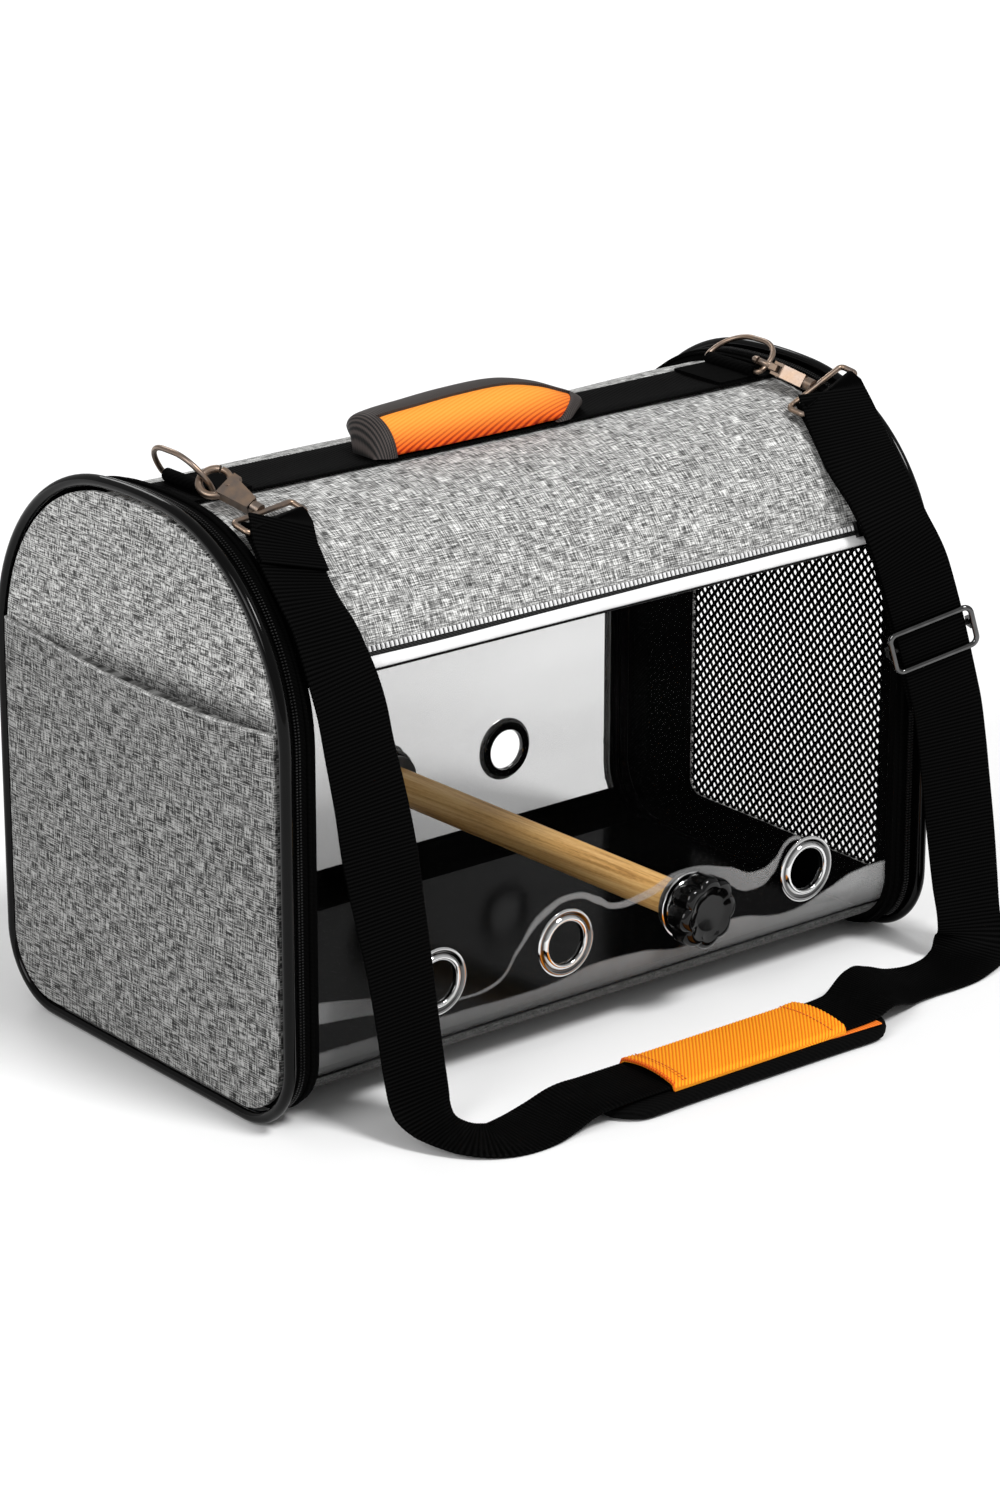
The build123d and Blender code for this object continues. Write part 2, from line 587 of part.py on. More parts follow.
def hook_gate():
    lever_x, lever_y = on_eye(HOOK_LEVER_AT)
    lever = Pos(lever_x + HOOK_GATE_D / 2, lever_y + HOOK_ROD_D / 2, 0) * Box(*HOOK_LEVER, HOOK_GATE_D)
    hub = Pos(*pivot) * Cylinder(HOOK_PIVOT_R, HOOK_GATE_D)
    bore = Pos(*pivot) * Cylinder(HOOK_RIVET_D / 2 + HOOK_FIT, 2 * HOOK_BODY_T)
    return rod(eye_arc(HOOK_GATE_BASE, HOOK_GATE_TIP), HOOK_GATE_D) + hub + lever - bore


def hook_swivel():
    """Post, collar and strap loop, in a frame whose x axis is the hook's middle line."""
    along_x = Rot(0, 90, 0)
    collar_x = HOOK_BODY_END + HOOK_COLLAR_GAP
    collar = Pos(collar_x, 0, 0) * along_x * Cylinder(collar_r, HOOK_COLLAR_L, align=UP_FROM_BASE)
    post_x = HOOK_BODY_END - HOOK_POST_L
    post_l = HOOK_POST_L + HOOK_COLLAR_GAP + HOOK_COLLAR_L / 2
    post = Pos(post_x, 0, 0) * along_x * Cylinder(HOOK_POST_D / 2, post_l, align=UP_FROM_BASE)
    loop = rod(rounded_loop(loop_span, HOOK_LOOP_DEPTH, HOOK_LOOP_R, HOOK_LOOP_R), HOOK_LOOP_WIRE_D)
    return collar + post + Pos(HOOK_LENGTH - HOOK_LOOP_DEPTH, 0, 0) * loop


rivets, strap_bars = [], {}
for name in SIDES:
    along = Vector(*HOOK_DIRECTION[name]).normalized()
    face = Vector(*HOOK_FACE[name])
    face = (face - along * face.dot(along)).normalized()
    hook_plane = Plane(ring_legs[name], x_dir=along, z_dir=face)
    save(f"{name}_hook_body", hook_plane * hook_body())
    save(f"{name}_hook_gate", hook_plane * hook_gate())
    rivet_l = HOOK_BODY_T + 2 * HOOK_RIVET_HEAD
    rivets.append(hook_plane * Pos(*pivot) * Cylinder(HOOK_RIVET_D / 2, rivet_l))
    middle_line = ring_legs[name] + hook_plane.y_dir * eye_y
    swivel_plane = frame_at(middle_line, along, LOOP_DIRECTION[name])
    save(f"{name}_hook_swivel", swivel_plane * hook_swivel())
    strap_bars[name] = (middle_line + along * HOOK_LENGTH, swivel_plane.y_dir)
    hub_at = hook_plane.from_local_coords(Vector(*pivot, 0))
    print(f"{name} hook: gate pivot {hub_at}, axis {face}, strap bar {strap_bars[name][0]}")
save("hook_rivets", *rivets)

# ---------------------------------------------------------------- shoulder strap
fold_bore_r = HOOK_LOOP_WIRE_D / 2 + LAYER_GAP
fold_lift = fold_bore_r + WEBBING_T / 2
layer_lift = WEBBING_T + LAYER_GAP


def strap_end(name, stations, side):
    """The station where the strap meets its hook's bar, on the bar's outer (1) or inner (-1) side."""
    bar, across = strap_bars[name]
    ahead = bar - Vector(*stations[-1][:3])
    ahead = (ahead - across * ahead.dot(across)).normalized()
    middle = bar + across.cross(ahead) * side * fold_lift - ahead * LAYER_GAP / 2
    return (middle.X, middle.Y, middle.Z, across.X, across.Y, across.Z)


def strap_fold(name, stations):
    """Half a turn of webbing round a hook's bar, on the side away from the strap."""
    bar, across = strap_bars[name]
    ahead = bar - Vector(*stations[-1][:3])
    tube = Cylinder(fold_bore_r + WEBBING_T, WEBBING_W) - Cylinder(fold_bore_r, 2 * WEBBING_W)
    half = Rot(90, 0, 0) * tube & block((0, WEBBING_W), ALL, ALL)
    return frame_at(bar, ahead - across * ahead.dot(across), across) * half


left_strap = STRAP_LEFT + [strap_end("left", STRAP_LEFT, -1)]
right_strap = STRAP_RIGHT + [strap_end("right", STRAP_RIGHT, 1)]
save("shoulder_strap_left", ribbon(left_strap, [0.0] * len(left_strap)))
save("shoulder_strap_right", ribbon(right_strap, [0.0] * len(right_strap)))

flap_stations = STRAP_LEFT[-FLAP_STATION_COUNT:] + [strap_end("left", STRAP_LEFT, 1)]
flap = ribbon(flap_stations, [layer_lift] * FLAP_STATION_COUNT + [0.0])
save("strap_folds", strap_fold("left", STRAP_LEFT), strap_fold("right", STRAP_RIGHT), flap)

low, high = right_strap[ADJUSTER_STATION_COUNT], right_strap[ADJUSTER_STATION_COUNT + 1]
bar_lift = (WEBBING_T + ADJUSTER_BAR_D) / 2 + LAYER_GAP
return_lift = bar_lift + ADJUSTER_BAR_D / 2 + LAYER_GAP + WEBBING_T / 2
upper = STRAP_RIGHT[ADJUSTER_STATION_COUNT:] + [strap_end("right", STRAP_RIGHT, -1)]
return_lifts = [-return_lift, -return_lift] + [-layer_lift] * (len(upper) - 3) + [0.0]
save("strap_return", ribbon(upper, return_lifts))

mix = [a + (b - a) * ADJUSTER_AT for a, b in zip(low, high)]
climb = Vector(*high[:3]) - Vector(*low[:3])
adjuster_plane = frame_at(Vector(*mix[:3]), climb, mix[3:])  # its z axis points in, towards the body
wire_lift = (WEBBING_T + ADJUSTER_WIRE_D) / 2 + LAYER_GAP
wire = rod(rounded_loop(ADJUSTER_W, ADJUSTER_H, ADJUSTER_CORNER_R, ADJUSTER_CORNER_R), ADJUSTER_WIRE_D)
save("adjuster_frame", adjuster_plane * Pos(-ADJUSTER_H / 2, 0, -wire_lift) * wire)
adjuster_bar = Pos(0, 0, bar_lift) * Rot(90, 0, 0) * Cylinder(ADJUSTER_BAR_D / 2, ADJUSTER_W)
for side in SIDES.values():
    lug_z = (ADJUSTER_WIRE_D / 2 - wire_lift, bar_lift + ADJUSTER_BAR_D / 2)
    lug_y = (side * ADJUSTER_W / 2 - ADJUSTER_LUG_W / 2, side * ADJUSTER_W / 2 + ADJUSTER_LUG_W / 2)
    adjuster_bar += block((-ADJUSTER_LUG_H / 2, ADJUSTER_LUG_H / 2), lug_y, lug_z)
save("adjuster_bar", adjuster_plane * adjuster_bar)

# ---------------------------------------------------------------- shoulder pad
pad_sketch = RectangleRounded(PAD_X[1] - PAD_X[0], PAD_W, PAD_END_R)
save("shoulder_pad", Pos(sum(PAD_X) / 2, PAD_Y, 0) * extrude(pad_sketch, PAD_T))
base_y = (PAD_Y - PAD_BASE_W / 2, PAD_Y + PAD_BASE_W / 2)
base_top = PAD_T + PAD_BASE_T
save("shoulder_pad_base", block(PAD_BASE_X, base_y, (PAD_T, base_top)))
strap_top = base_top + LAYER_GAP + WEBBING_T + SLEEVE_GAP
tunnel_half_w = WEBBING_W / 2 + SLEEVE_SIDE_GAP
sleeve_half_w = tunnel_half_w + SLEEVE_T
sleeve = block(SLEEVE_X, (PAD_Y - sleeve_half_w, PAD_Y + sleeve_half_w), (base_top, strap_top + SLEEVE_T))
tunnel = block(ALL, (PAD_Y - tunnel_half_w, PAD_Y + tunnel_half_w), (base_top, strap_top))
save("shoulder_pad_sleeve", sleeve - tunnel)

# ---------------------------------------------------------------- carrying handle
HANDLE_Z = RIDGE_TOP_Z + HANDLE_GAP


def handle_shape(grow, stations):
    """A vault over the ridge, its sides and top moved out by grow."""
    profiles = []
    for x, width, height in stations:
        half = width / 2 + grow
        top = Edge.make_three_point_arc((x, -half, HANDLE_Z), (x, 0, HANDLE_Z + height + grow), (x, half, HANDLE_Z))
        profiles.append(Wire([top, Edge.make_line((x, half, HANDLE_Z), (x, -half, HANDLE_Z))]))
    return Part() + Solid.make_loft(profiles, ruled=True)


first, last = HANDLE_STATIONS[0], HANDLE_STATIONS[-1]
through = [(first[0] - HANDLE_T, *first[1:])] + HANDLE_STATIONS + [(last[0] + HANDLE_T, *last[1:])]
save("handle_grip", handle_shape(0, HANDLE_STATIONS) - handle_shape(-HANDLE_T, through))
wrapped = handle_shape(HANDLE_BINDING_T, HANDLE_STATIONS) - handle_shape(0, through)
grip_ends = block((first[0], first[0] + HANDLE_BINDING_L), ALL, ALL) + block(
    (last[0] - HANDLE_BINDING_L, last[0]), ALL, ALL
)
save("handle_bindings", wrapped & grip_ends)

# ---------------------------------------------------------------- zip sliders and pulls
# Local frame of a slider: x along its zip, y across it, z out of the body, with the coil's outer side at z = 0.
pin_z = SLIDER_GAP + SLIDER_T + SLIDER_GAP + PULL_EYE_D / 2
eye_w = SLIDER_W - 2 * (SLIDER_POST_T + PULL_SIDE_GAP)


def slider():
    body = block((-SLIDER_L / 2, SLIDER_L / 2), (-SLIDER_W / 2, SLIDER_W / 2), (SLIDER_GAP, SLIDER_GAP + SLIDER_T))
    for side in SIDES.values():
        post_y = (side * SLIDER_W / 2, side * (SLIDER_W / 2 - SLIDER_POST_T))
        body += block((-PULL_PIN_D, PULL_PIN_D), post_y, (SLIDER_GAP + SLIDER_T, pin_z + PULL_PIN_D))
    return body + Pos(0, 0, pin_z) * Rot(90, 0, 0) * Cylinder(PULL_PIN_D / 2, SLIDER_W)


def pull():
    along_y = Rot(90, 0, 0)
    neck_l = SLIDER_L / 2 + PULL_SIDE_GAP
    neck = block((-neck_l, 0), (-eye_w / 2, eye_w / 2), (-PULL_T / 2, PULL_T / 2))
    tongue = block((-PULL_L, -neck_l), (-PULL_W / 2, PULL_W / 2), (-PULL_T / 2, PULL_T / 2))
    tongue = fillet(tongue.edges().filter_by(Axis.Z).group_by(Axis.X)[0], PULL_W / 3)
    bore = along_y * Cylinder(PULL_PIN_D / 2 + PULL_PIN_FIT, SLIDER_W)
    return Pos(0, 0, pin_z) * (along_y * Cylinder(PULL_EYE_D / 2, eye_w) + neck + tongue - bore)


door_coil_y = HALF_W + TAPE_T + COIL_T
coil_r = SHOULDER_R + WALL + COIL_T
out_z = (zip_z - SHOULDER_Z) / (SHOULDER_R + WALL)
out_y = sqrt(1 - out_z**2)
coil_y, coil_z = SHOULDER_Y + coil_r * out_y, SHOULDER_Z + coil_r * out_z
slider_planes = {
    "left_door": Plane((-ZIP_X, door_coil_y, DOOR_SLIDER_Z), x_dir=(0, 0, 1), z_dir=(0, 1, 0)),
    "right_door": Plane((ZIP_X, door_coil_y, DOOR_SLIDER_Z), x_dir=(0, 0, 1), z_dir=(0, 1, 0)),
    "front_window": Plane((FRONT_SLIDER_X, -coil_y, coil_z), x_dir=(-1, 0, 0), z_dir=(0, -out_y, out_z)),
    "back_window": Plane((BACK_SLIDER_X, coil_y, coil_z), x_dir=(1, 0, 0), z_dir=(0, out_y, out_z)),
}
for name, plane in slider_planes.items():
    save(f"{name}_slider", plane * slider())
    save(f"{name}_pull", plane * pull())
    print(f"{name} pull: pin {plane.from_local_coords(Vector(0, 0, pin_z))}, axis {plane.y_dir}")
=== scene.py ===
from math import asin, atan2, ceil, cos, pi, radians, sin, sqrt

import bmesh
import bpy
from mathutils import Matrix, Vector, noise


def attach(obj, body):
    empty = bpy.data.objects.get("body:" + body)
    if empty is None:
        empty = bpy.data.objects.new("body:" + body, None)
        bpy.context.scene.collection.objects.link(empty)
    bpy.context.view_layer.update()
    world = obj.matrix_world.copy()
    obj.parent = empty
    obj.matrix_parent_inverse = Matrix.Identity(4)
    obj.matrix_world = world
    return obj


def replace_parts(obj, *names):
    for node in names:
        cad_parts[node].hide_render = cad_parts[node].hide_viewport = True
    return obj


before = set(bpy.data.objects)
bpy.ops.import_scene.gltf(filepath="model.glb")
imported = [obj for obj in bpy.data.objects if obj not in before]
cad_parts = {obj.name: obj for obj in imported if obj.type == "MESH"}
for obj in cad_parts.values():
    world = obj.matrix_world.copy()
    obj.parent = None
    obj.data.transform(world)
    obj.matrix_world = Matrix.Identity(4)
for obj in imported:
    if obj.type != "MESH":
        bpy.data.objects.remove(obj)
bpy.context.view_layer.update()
scene = bpy.context.scene

# A soft-sided bird travel carrier. Metres, in the CAD model's frame: +X along the body, -Y out of the front
# window, +Z up, and the origin on the surface that it stands on.

# ---- body outline, seen along X ----
HALF_W = 0.115
BASE_Z = 0.006
TOP_Z = 0.291
BOTTOM_R = 0.033
SHOULDER_R = 0.098
CROWN_R = 0.293
WALL = -0.0035  # the walls hang this far inside the ends' outline
BODY_END_X = 0.1853
ZIP_X = 0.196

# ---- cloth and film ----
CLOTH_T = 0.002
FILM_T = 0.0008
DOOR_OUT_X = 0.205
DOOR_IN_X = 0.203
END_EDGE = -0.0022  # the ends' cloth stops this far inside the outline, so the piping shows
POCKET_T = 0.0014
POCKET_TOP_Z = 0.2035
POCKET_SAG = 0.0030
POCKET_GAPE = 0.0048
POCKET_BELLY = 0.0014
END_SWELL = 0.0010
HEM_R = 0.0011

# ---- slow waves in cloth and film: their size and depth ----
ROOF_WAVES = (0.07, 0.0010)
FILM_WAVES = (0.045, 0.0022)
END_WAVES = (0.06, 0.0010)
POCKET_WAVES = (0.07, 0.0012)
ROOF_SAG = 0.0009

# ---- heights on the walls ----
WINDOW_BOTTOM_Z = 0.024
WINDOW_TOP_Z = 0.2215
WELT_TOP_Z = 0.227
ROOF_EDGE_Z = 0.2315
ZIP_FOOT_Z = 0.014
WINDOW_TOOTH_PITCH = 0.0027
WINDOW_TOOTH = (0.0015, 0.0026, 0.0012)
END_TOOTH_PITCH = 0.0015
END_TOOTH = (0.0009, 0.0014, 0.0014)
TEETH_APART = 0.0009  # each row of teeth stands this far beside its zip's middle
GUSSET_WELT_X = 0.1895
STOP_GROW = -0.0024  # how far outside the outline the stops' middle line lies
STOP_Z = (0.0076, 0.0165)
STOP_R = 0.0025
SEAM_R = 0.0009
HEM_IN = 0.0022  # the roof's hem stitches lie this far inside its edges
ROOF_STITCH = (0.0019, 0.00032)  # length, radius

# ---- mesh window ----
MESH_HALF_W = 0.075
MESH_MIDDLE_Y = -0.012
MESH_FOOT_Z = 0.031
MESH_CORNER_R = 0.009
MESH_X = (0.2038, 0.2043)
HOLE_PITCH = 0.0053
HOLE_ROW = 0.00305
HOLE_HALF_W = 0.0013
HOLE_HALF_H = 0.0019

# ---- eyelets and perch ----
EYELET_ROWS = {  # side, places along X, height
    "front": (-1, (-0.111, -0.031, 0.049, 0.129), 0.0565),
    "back": (1, (-0.129, -0.049, 0.031, 0.111), 0.063),
}
EYELET_CUT_R = 0.0122
PERCH_FRONT = Vector((0.049, -0.1115, 0.0565))
PERCH_BACK = Vector((0.031, 0.1115, 0.063))
PERCH_TURN = radians(-4.6)  # the perch lies this far round from Y
KNOB_BASE = 0.0036
KNOB_H = 0.013
KNOB_R = 0.0181
KNOB_LOBE = 0.0014
KNOB_LOBES = 8
KNOB_SIDES = 128

# ---- webbing ----
WEBBING_W = 0.038
WEBBING_T = 0.0016
RIB_PITCH = 0.0019
RIB_DEPTH = 0.00014
STRAP_WEAVE = (WEBBING_W, WEBBING_T, RIB_PITCH, RIB_DEPTH, RIB_PITCH / 4)  # as ribbon takes it
RIDGE_STITCH = (0.0022, 0.0003)
RIDGE_STITCH_Y = 0.0165
LAYER_LIFT = 0.0019
FOLD_R = 0.0026
RETURN_LIFT = 0.0054

# ---- shoulder strap, pad to hook: its middle line, then the direction across it ----
STRAP_LEFT = [
    (0.058, -0.1805, 0.0099, 0.0, 1.0, 0.0),
    (-0.004, -0.1805, 0.0099, 0.0, 1.0, 0.0),
    (-0.066, -0.18, 0.0099, 0.0, 1.0, 0.0),
    (-0.08, -0.1785, 0.0084, -0.02, 1.0, 0.02),
    (-0.095, -0.1785, 0.0042, -0.06, 1.0, 0.04),
    (-0.111, -0.1805, 0.0022, -0.04, 1.0, 0.05),
    (-0.125, -0.1795, 0.0015, 0.16, 0.98, 0.02),
    (-0.1355, -0.1735, 0.002, 0.50, 0.86, 0.0),
    (-0.1425, -0.1645, 0.0034, 0.79, 0.61, -0.06),
    (-0.147, -0.1555, 0.0065, 0.94, 0.32, -0.12),
    (-0.149, -0.1485, 0.014, 0.98, 0.08, -0.16),
    (-0.1495, -0.1435, 0.03, 0.99, 0.03, -0.14),
    (-0.15, -0.1385, 0.056, 1.0, 0.03, -0.05),
    (-0.1515, -0.134, 0.085, 1.0, -0.02, 0.03),
    (-0.154, -0.13, 0.112, 0.98, -0.14, 0.12),
    (-0.157, -0.127, 0.139, 0.95, -0.25, 0.17),
    (-0.16, -0.1245, 0.164, 0.97, -0.16, 0.10),
    (-0.164, -0.122, 0.189, 0.99, -0.09, -0.05),
    (-0.167, -0.1195, 0.211, 0.99, -0.08, -0.12),
    (-0.17, -0.114, 0.23, 0.97, -0.08, -0.20),
    (-0.171, -0.105, 0.246, 0.97, -0.05, -0.24),
    (-0.172, -0.0935, 0.2585, 0.98, 0.05, -0.20),
    (-0.1705, -0.081, 0.269, 0.98, 0.08, -0.16),
    (-0.1675, -0.07, 0.2765, 0.98, 0.12, -0.10),
]
STRAP_RIGHT = [
    (0.058, -0.1805, 0.0099, 0.0, -1.0, 0.0),
    (0.096, -0.18, 0.0099, 0.0, -1.0, 0.0),
    (0.112, -0.176, 0.0118, -0.16, -0.98, -0.06),
    (0.127, -0.17, 0.0104, -0.22, -0.96, -0.16),
    (0.142, -0.1645, 0.0066, -0.14, -0.98, -0.12),
    (0.157, -0.1625, 0.0028, 0.0, -1.0, -0.04),
    (0.172, -0.1625, 0.0014, 0.10, -0.99, 0.0),
    (0.186, -0.1615, 0.0016, 0.30, -0.95, 0.0),
    (0.196, -0.159, 0.0028, 0.56, -0.82, 0.02),
    (0.204, -0.156, 0.0052, 0.80, -0.60, 0.02),
    (0.2095, -0.152, 0.0105, 0.93, -0.35, -0.04),
    (0.212, -0.1475, 0.022, 0.97, -0.24, -0.08),
    (0.213, -0.143, 0.039, 0.95, -0.30, -0.04),
    (0.2125, -0.139, 0.065, 0.94, -0.34, 0.08),
    (0.211, -0.1355, 0.093, 0.93, -0.34, 0.14),
    (0.2095, -0.1335, 0.113, 0.925, -0.33, 0.17),
    (0.2065, -0.1313, 0.136, 0.925, -0.325, 0.18),
    (0.1885, -0.1253, 0.204, 0.925, -0.325, 0.18),
    (0.179, -0.121, 0.2295, 0.96, -0.14, 0.20),
    (0.1755, -0.1105, 0.2485, 0.96, -0.10, 0.26),
    (0.175, -0.0955, 0.263, 0.94, -0.13, 0.32),
    (0.179, -0.079, 0.277, 0.94, -0.15, 0.28),
]
HOOK_BARS = {  # middle of the bar that the strap goes round, and its direction
    "left": (Vector((-0.16314, -0.05915, 0.28507)), Vector((0.9633, 0.2685, -0.0048))),
    "right": (Vector((0.18446, -0.06172, 0.28771)), Vector((0.9409, 0.1333, 0.3113))),
}
FLAP_STATION_COUNT = 2  # the left branch's last stations, which its sewn end flap follows
RETURN_STATION_COUNT = 6  # the right branch's last stations, which its return layer follows

# ---- shoulder pad ----
PAD_X = (-0.072, 0.112)
PAD_Y = -0.1805
PAD_W = 0.054
PAD_T = 0.008
PAD_END_R = 0.022
BASE_T = 0.0008
BASE_W = 0.037
BASE_TURN = 0.04
BASE_X = (-0.066, 0.100)
BASE_WEAVE = (BASE_W, BASE_T, 0.0016, 0.00005, 0.0008)  # as ribbon takes it
SLEEVE_X = (-0.036, 0.076)
SLEEVE_HALF_W = 0.0204
SLEEVE_T = 0.0012
SLEEVE_TOP = 0.0122
SLEEVE_RIB = 0.0017
SLEEVE_TURN = radians(39)  # its ribs run this far round from Y towards +X
SLEEVE_RELIEF = 0.0002
SLEEVE_CORNER = 0.0022
SLEEVE_CROWN = (0.0016, 0.0012)  # over its sides, and how much more at its ends
SLEEVE_HEM = (0.006, 0.0005)  # width and rise of the folded cloth at its ends
HEM_ROLLS = ((SLEEVE_X[0] + 0.0006, 0.0010), (SLEEVE_X[1] - 0.0006, 0.0007))  # place along X, radius
SLEEVE_SEAMS_X = (SLEEVE_X[0] + 0.0085, SLEEVE_X[0] + 0.0065, SLEEVE_X[1] - 0.0085)
SLEEVE_STITCH = (0.0018, 0.0003)
PAD_LEVELS = [  # how far the pad's edge is inset, and the height
    (0.019, 0.0), (0.006, 0.0), (0.002, 0.0003), (0.0004, 0.0018), (0, 0.0035), (0.0005, 0.0055),
    (0.0022, 0.0072), (0.0055, PAD_T - 0.0003), (0.012, PAD_T - 0.0006), (0.019, PAD_T - 0.0006),
]

# ---- carrying handle: x, width, height over the ridge ----
HANDLE_STATIONS = [
    (-0.074, 0.038, 0.0135),
    (-0.064, 0.040, 0.0175),
    (-0.040, 0.042, 0.0195),
    (-0.014, 0.042, 0.0210),
    (0.016, 0.042, 0.0207),
    (0.038, 0.041, 0.0160),
    (0.056, 0.039, 0.0092),
    (0.068, 0.037, 0.0045),
]
HANDLE_Z = 0.2895
HANDLE_T = 0.0045
HANDLE_ROUND = 0.008
LEFT_END_SLANT = 0.014
RIGHT_END_BENDS = (0.021, 0.008)  # how far its front and its back corner fall short of its middle
BINDING_T = 0.0013
BINDING_DEPTH = 0.0020
BINDING_ROUND = 0.0016  # how far its two edges lie below its middle
PADDING_IN = 0.0008  # the padding lies this far inside the vault before it swells
BINDING_L = {"left": 0.012, "right": 0.009}
BINDING_CREST = (-0.17, 0.36)  # shares of the vault's arc

# ---- how the soft pieces swell ----
PAD_VOXEL = 0.003
GRIP_VOXEL = 0.002
PRESSURE = 3.0
SWELL_CAP = 0.0010
SWELL_FRAMES = 20

# ---- camera ----
CAMERA_PLACE = (-1.37518, -1.72775, 0.91529)
CAMERA_AZIMUTH = radians(-38.876)
CAMERA_ELEVATION = radians(19.835)
CAMERA_ROLL = radians(0.057)
FOCAL_PIXELS = 4609.2
IMAGE_HEIGHT = 1500  # pixels
SENSOR_HEIGHT = 36.0  # millimetres

SHOULDER_Y = HALF_W - SHOULDER_R
CROWN_Z = TOP_Z - CROWN_R
SHOULDER_Z = CROWN_Z + sqrt((CROWN_R - SHOULDER_R) ** 2 - SHOULDER_Y**2)
SHOULDER_END = atan2(SHOULDER_Z - CROWN_Z, SHOULDER_Y)
CORNER_Z = BASE_Z + BOTTOM_R
X_AXIS = Vector((1, 0, 0))
Y_AXIS = Vector((0, 1, 0))
Z_AXIS = Vector((0, 0, 1))
SIDES = {"left": -1, "right": 1}


# ---- shader nodes ----
def add(tree, kind, sockets=None, **settings):
    node = tree.nodes.new(kind)
    for key, value in settings.items():
        setattr(node, key, value)
    for key, value in (sockets or {}).items():
        if isinstance(value, bpy.types.NodeSocket):
            tree.links.new(value, node.inputs[key])
        else:
            node.inputs[key].default_value = value
    return node


def calc(tree, operation, *values, **settings):
    """What a Math node makes of its values."""
    return add(tree, "ShaderNodeMath", dict(enumerate(values)), operation=operation, **settings).outputs[0]


def mapped(tree, value, limits, results=(0.0, 1.0), smooth=False):
    """A value's place between two limits, as the same place between two results."""
    names = ("Value", "From Min", "From Max", "To Min", "To Max")
    sockets = dict(zip(names, (value, *limits, *results)))
    kind = "SMOOTHSTEP" if smooth else "LINEAR"
    return add(tree, "ShaderNodeMapRange", sockets, interpolation_type=kind).outputs["Result"]


def coordinates(tree, source="UV"):
    """Sockets with the X, Y and Z of a texture coordinate."""
    place = add(tree, "ShaderNodeTexCoord").outputs[source]
    return add(tree, "ShaderNodeSeparateXYZ", {"Vector": place}).outputs


def stretched(tree, scale, source, turn=0.0):
    place = add(tree, "ShaderNodeTexCoord").outputs[source]
    sockets = {"Vector": place, "Rotation": (0, 0, turn)}
    turned = add(tree, "ShaderNodeMapping", sockets).outputs["Vector"]
    return add(tree, "ShaderNodeMapping", {"Vector": turned, "Scale": scale}).outputs["Vector"]


def grain(tree, size, source="UV", detail=2.0, turn=0.0):
    """Noise whose spots are as long as size says along each axis, in metres."""
    vector = stretched(tree, [1 / length for length in size], source, turn)
    return add(tree, "ShaderNodeTexNoise", {"Vector": vector, "Scale": 1.0, "Detail": detail}).outputs["Fac"]


ONE_BAND = 2 * pi / 20  # the wave texture's scale at which a band is one unit wide


def waves(tree, pitch, source="UV", axis="Y", turn=0.0, distortion=0.0):
    """Ridges across one axis, this far apart in metres."""
    vector = stretched(tree, (1 / pitch,) * 3, source, turn)
    sockets = {"Vector": vector, "Scale": ONE_BAND, "Distortion": distortion}
    return add(tree, "ShaderNodeTexWave", sockets, bands_direction=axis).outputs["Fac"]


def sums(tree, *terms):
    """The sum of several sockets, each times its share."""
    total = 0.0
    for socket, share in terms:
        total = calc(tree, "MULTIPLY_ADD", socket, share, total)
    return total


def ramp(tree, value, *stops):
    """A colour for each value: stops are (position, colour)."""
    node = add(tree, "ShaderNodeValToRGB", {"Fac": value})
    elements = node.color_ramp.elements
    while len(elements) < len(stops):
        elements.new(0.5)
    for element, (position, colour) in zip(elements, stops):
        element.position = position
        element.color = (*colour, 1)
    return node.outputs["Color"]


CONTOUR_REACH = 190  # millimetres that a contour runs to each side of the middle
CONTOUR_TOP = 100  # millimetres up to the top of a contour's curve


def contour(tree, along, points):
    """A height for each place along the film: points are (place, height) in millimetres."""
    share = mapped(tree, along, (-CONTOUR_REACH / 1000, CONTOUR_REACH / 1000))
    node = add(tree, "ShaderNodeFloatCurve", {"Value": share})
    curve = node.mapping.curves[0]
    while len(curve.points) < len(points):
        curve.points.new(0.5, 0.5)
    for point, (x, height) in zip(curve.points, sorted(points)):
        point.location = ((x + CONTOUR_REACH) / (2 * CONTOUR_REACH), height / CONTOUR_TOP)
    node.mapping.update()
    return calc(tree, "MULTIPLY", node.outputs["Value"], CONTOUR_TOP / 1000)


def soft_step(tree, value, edge, soft):
    """0 below an edge and 1 above it, with a soft change between."""
    return mapped(tree, calc(tree, "SUBTRACT", value, edge), (-soft, soft), smooth=True)


def between(tree, value, low, high, soft):
    """1 where value lies between two heights, with a soft edge at each."""
    return calc(tree, "MULTIPLY", soft_step(tree, value, low, soft), soft_step(tree, high, value, soft))


def grey(value):
    return (value, value, value)


def principled(name, **sockets):
    """A material and its shader, with the sockets that are the same all over."""
    material = bpy.data.materials.new(name)
    material.use_nodes = True
    shader = material.node_tree.nodes["Principled BSDF"]
    for key, value in sockets.items():
        shader.inputs[key.replace("_", " ")].default_value = value
    return material, material.node_tree, shader


def coloured(tree, shader, value, *stops):
    tree.links.new(ramp(tree, value, *stops), shader.inputs["Base Color"])


def rough_from(tree, shader, value, low, high):
    tree.links.new(mapped(tree, value, (0.0, 1.0), (low, high)), shader.inputs["Roughness"])


def bumped(tree, shader, height, distance, strength=1.0):
    node = add(tree, "ShaderNodeBump", {"Height": height, "Distance": distance, "Strength": strength})
    tree.links.new(node.outputs["Normal"], shader.inputs["Normal"])


# ---- materials ----
SLUB = 0.00055
HEATHER_STOPS = ((0.41, 0.05), (0.465, 0.19), (0.52, 0.40), (0.58, 0.86))


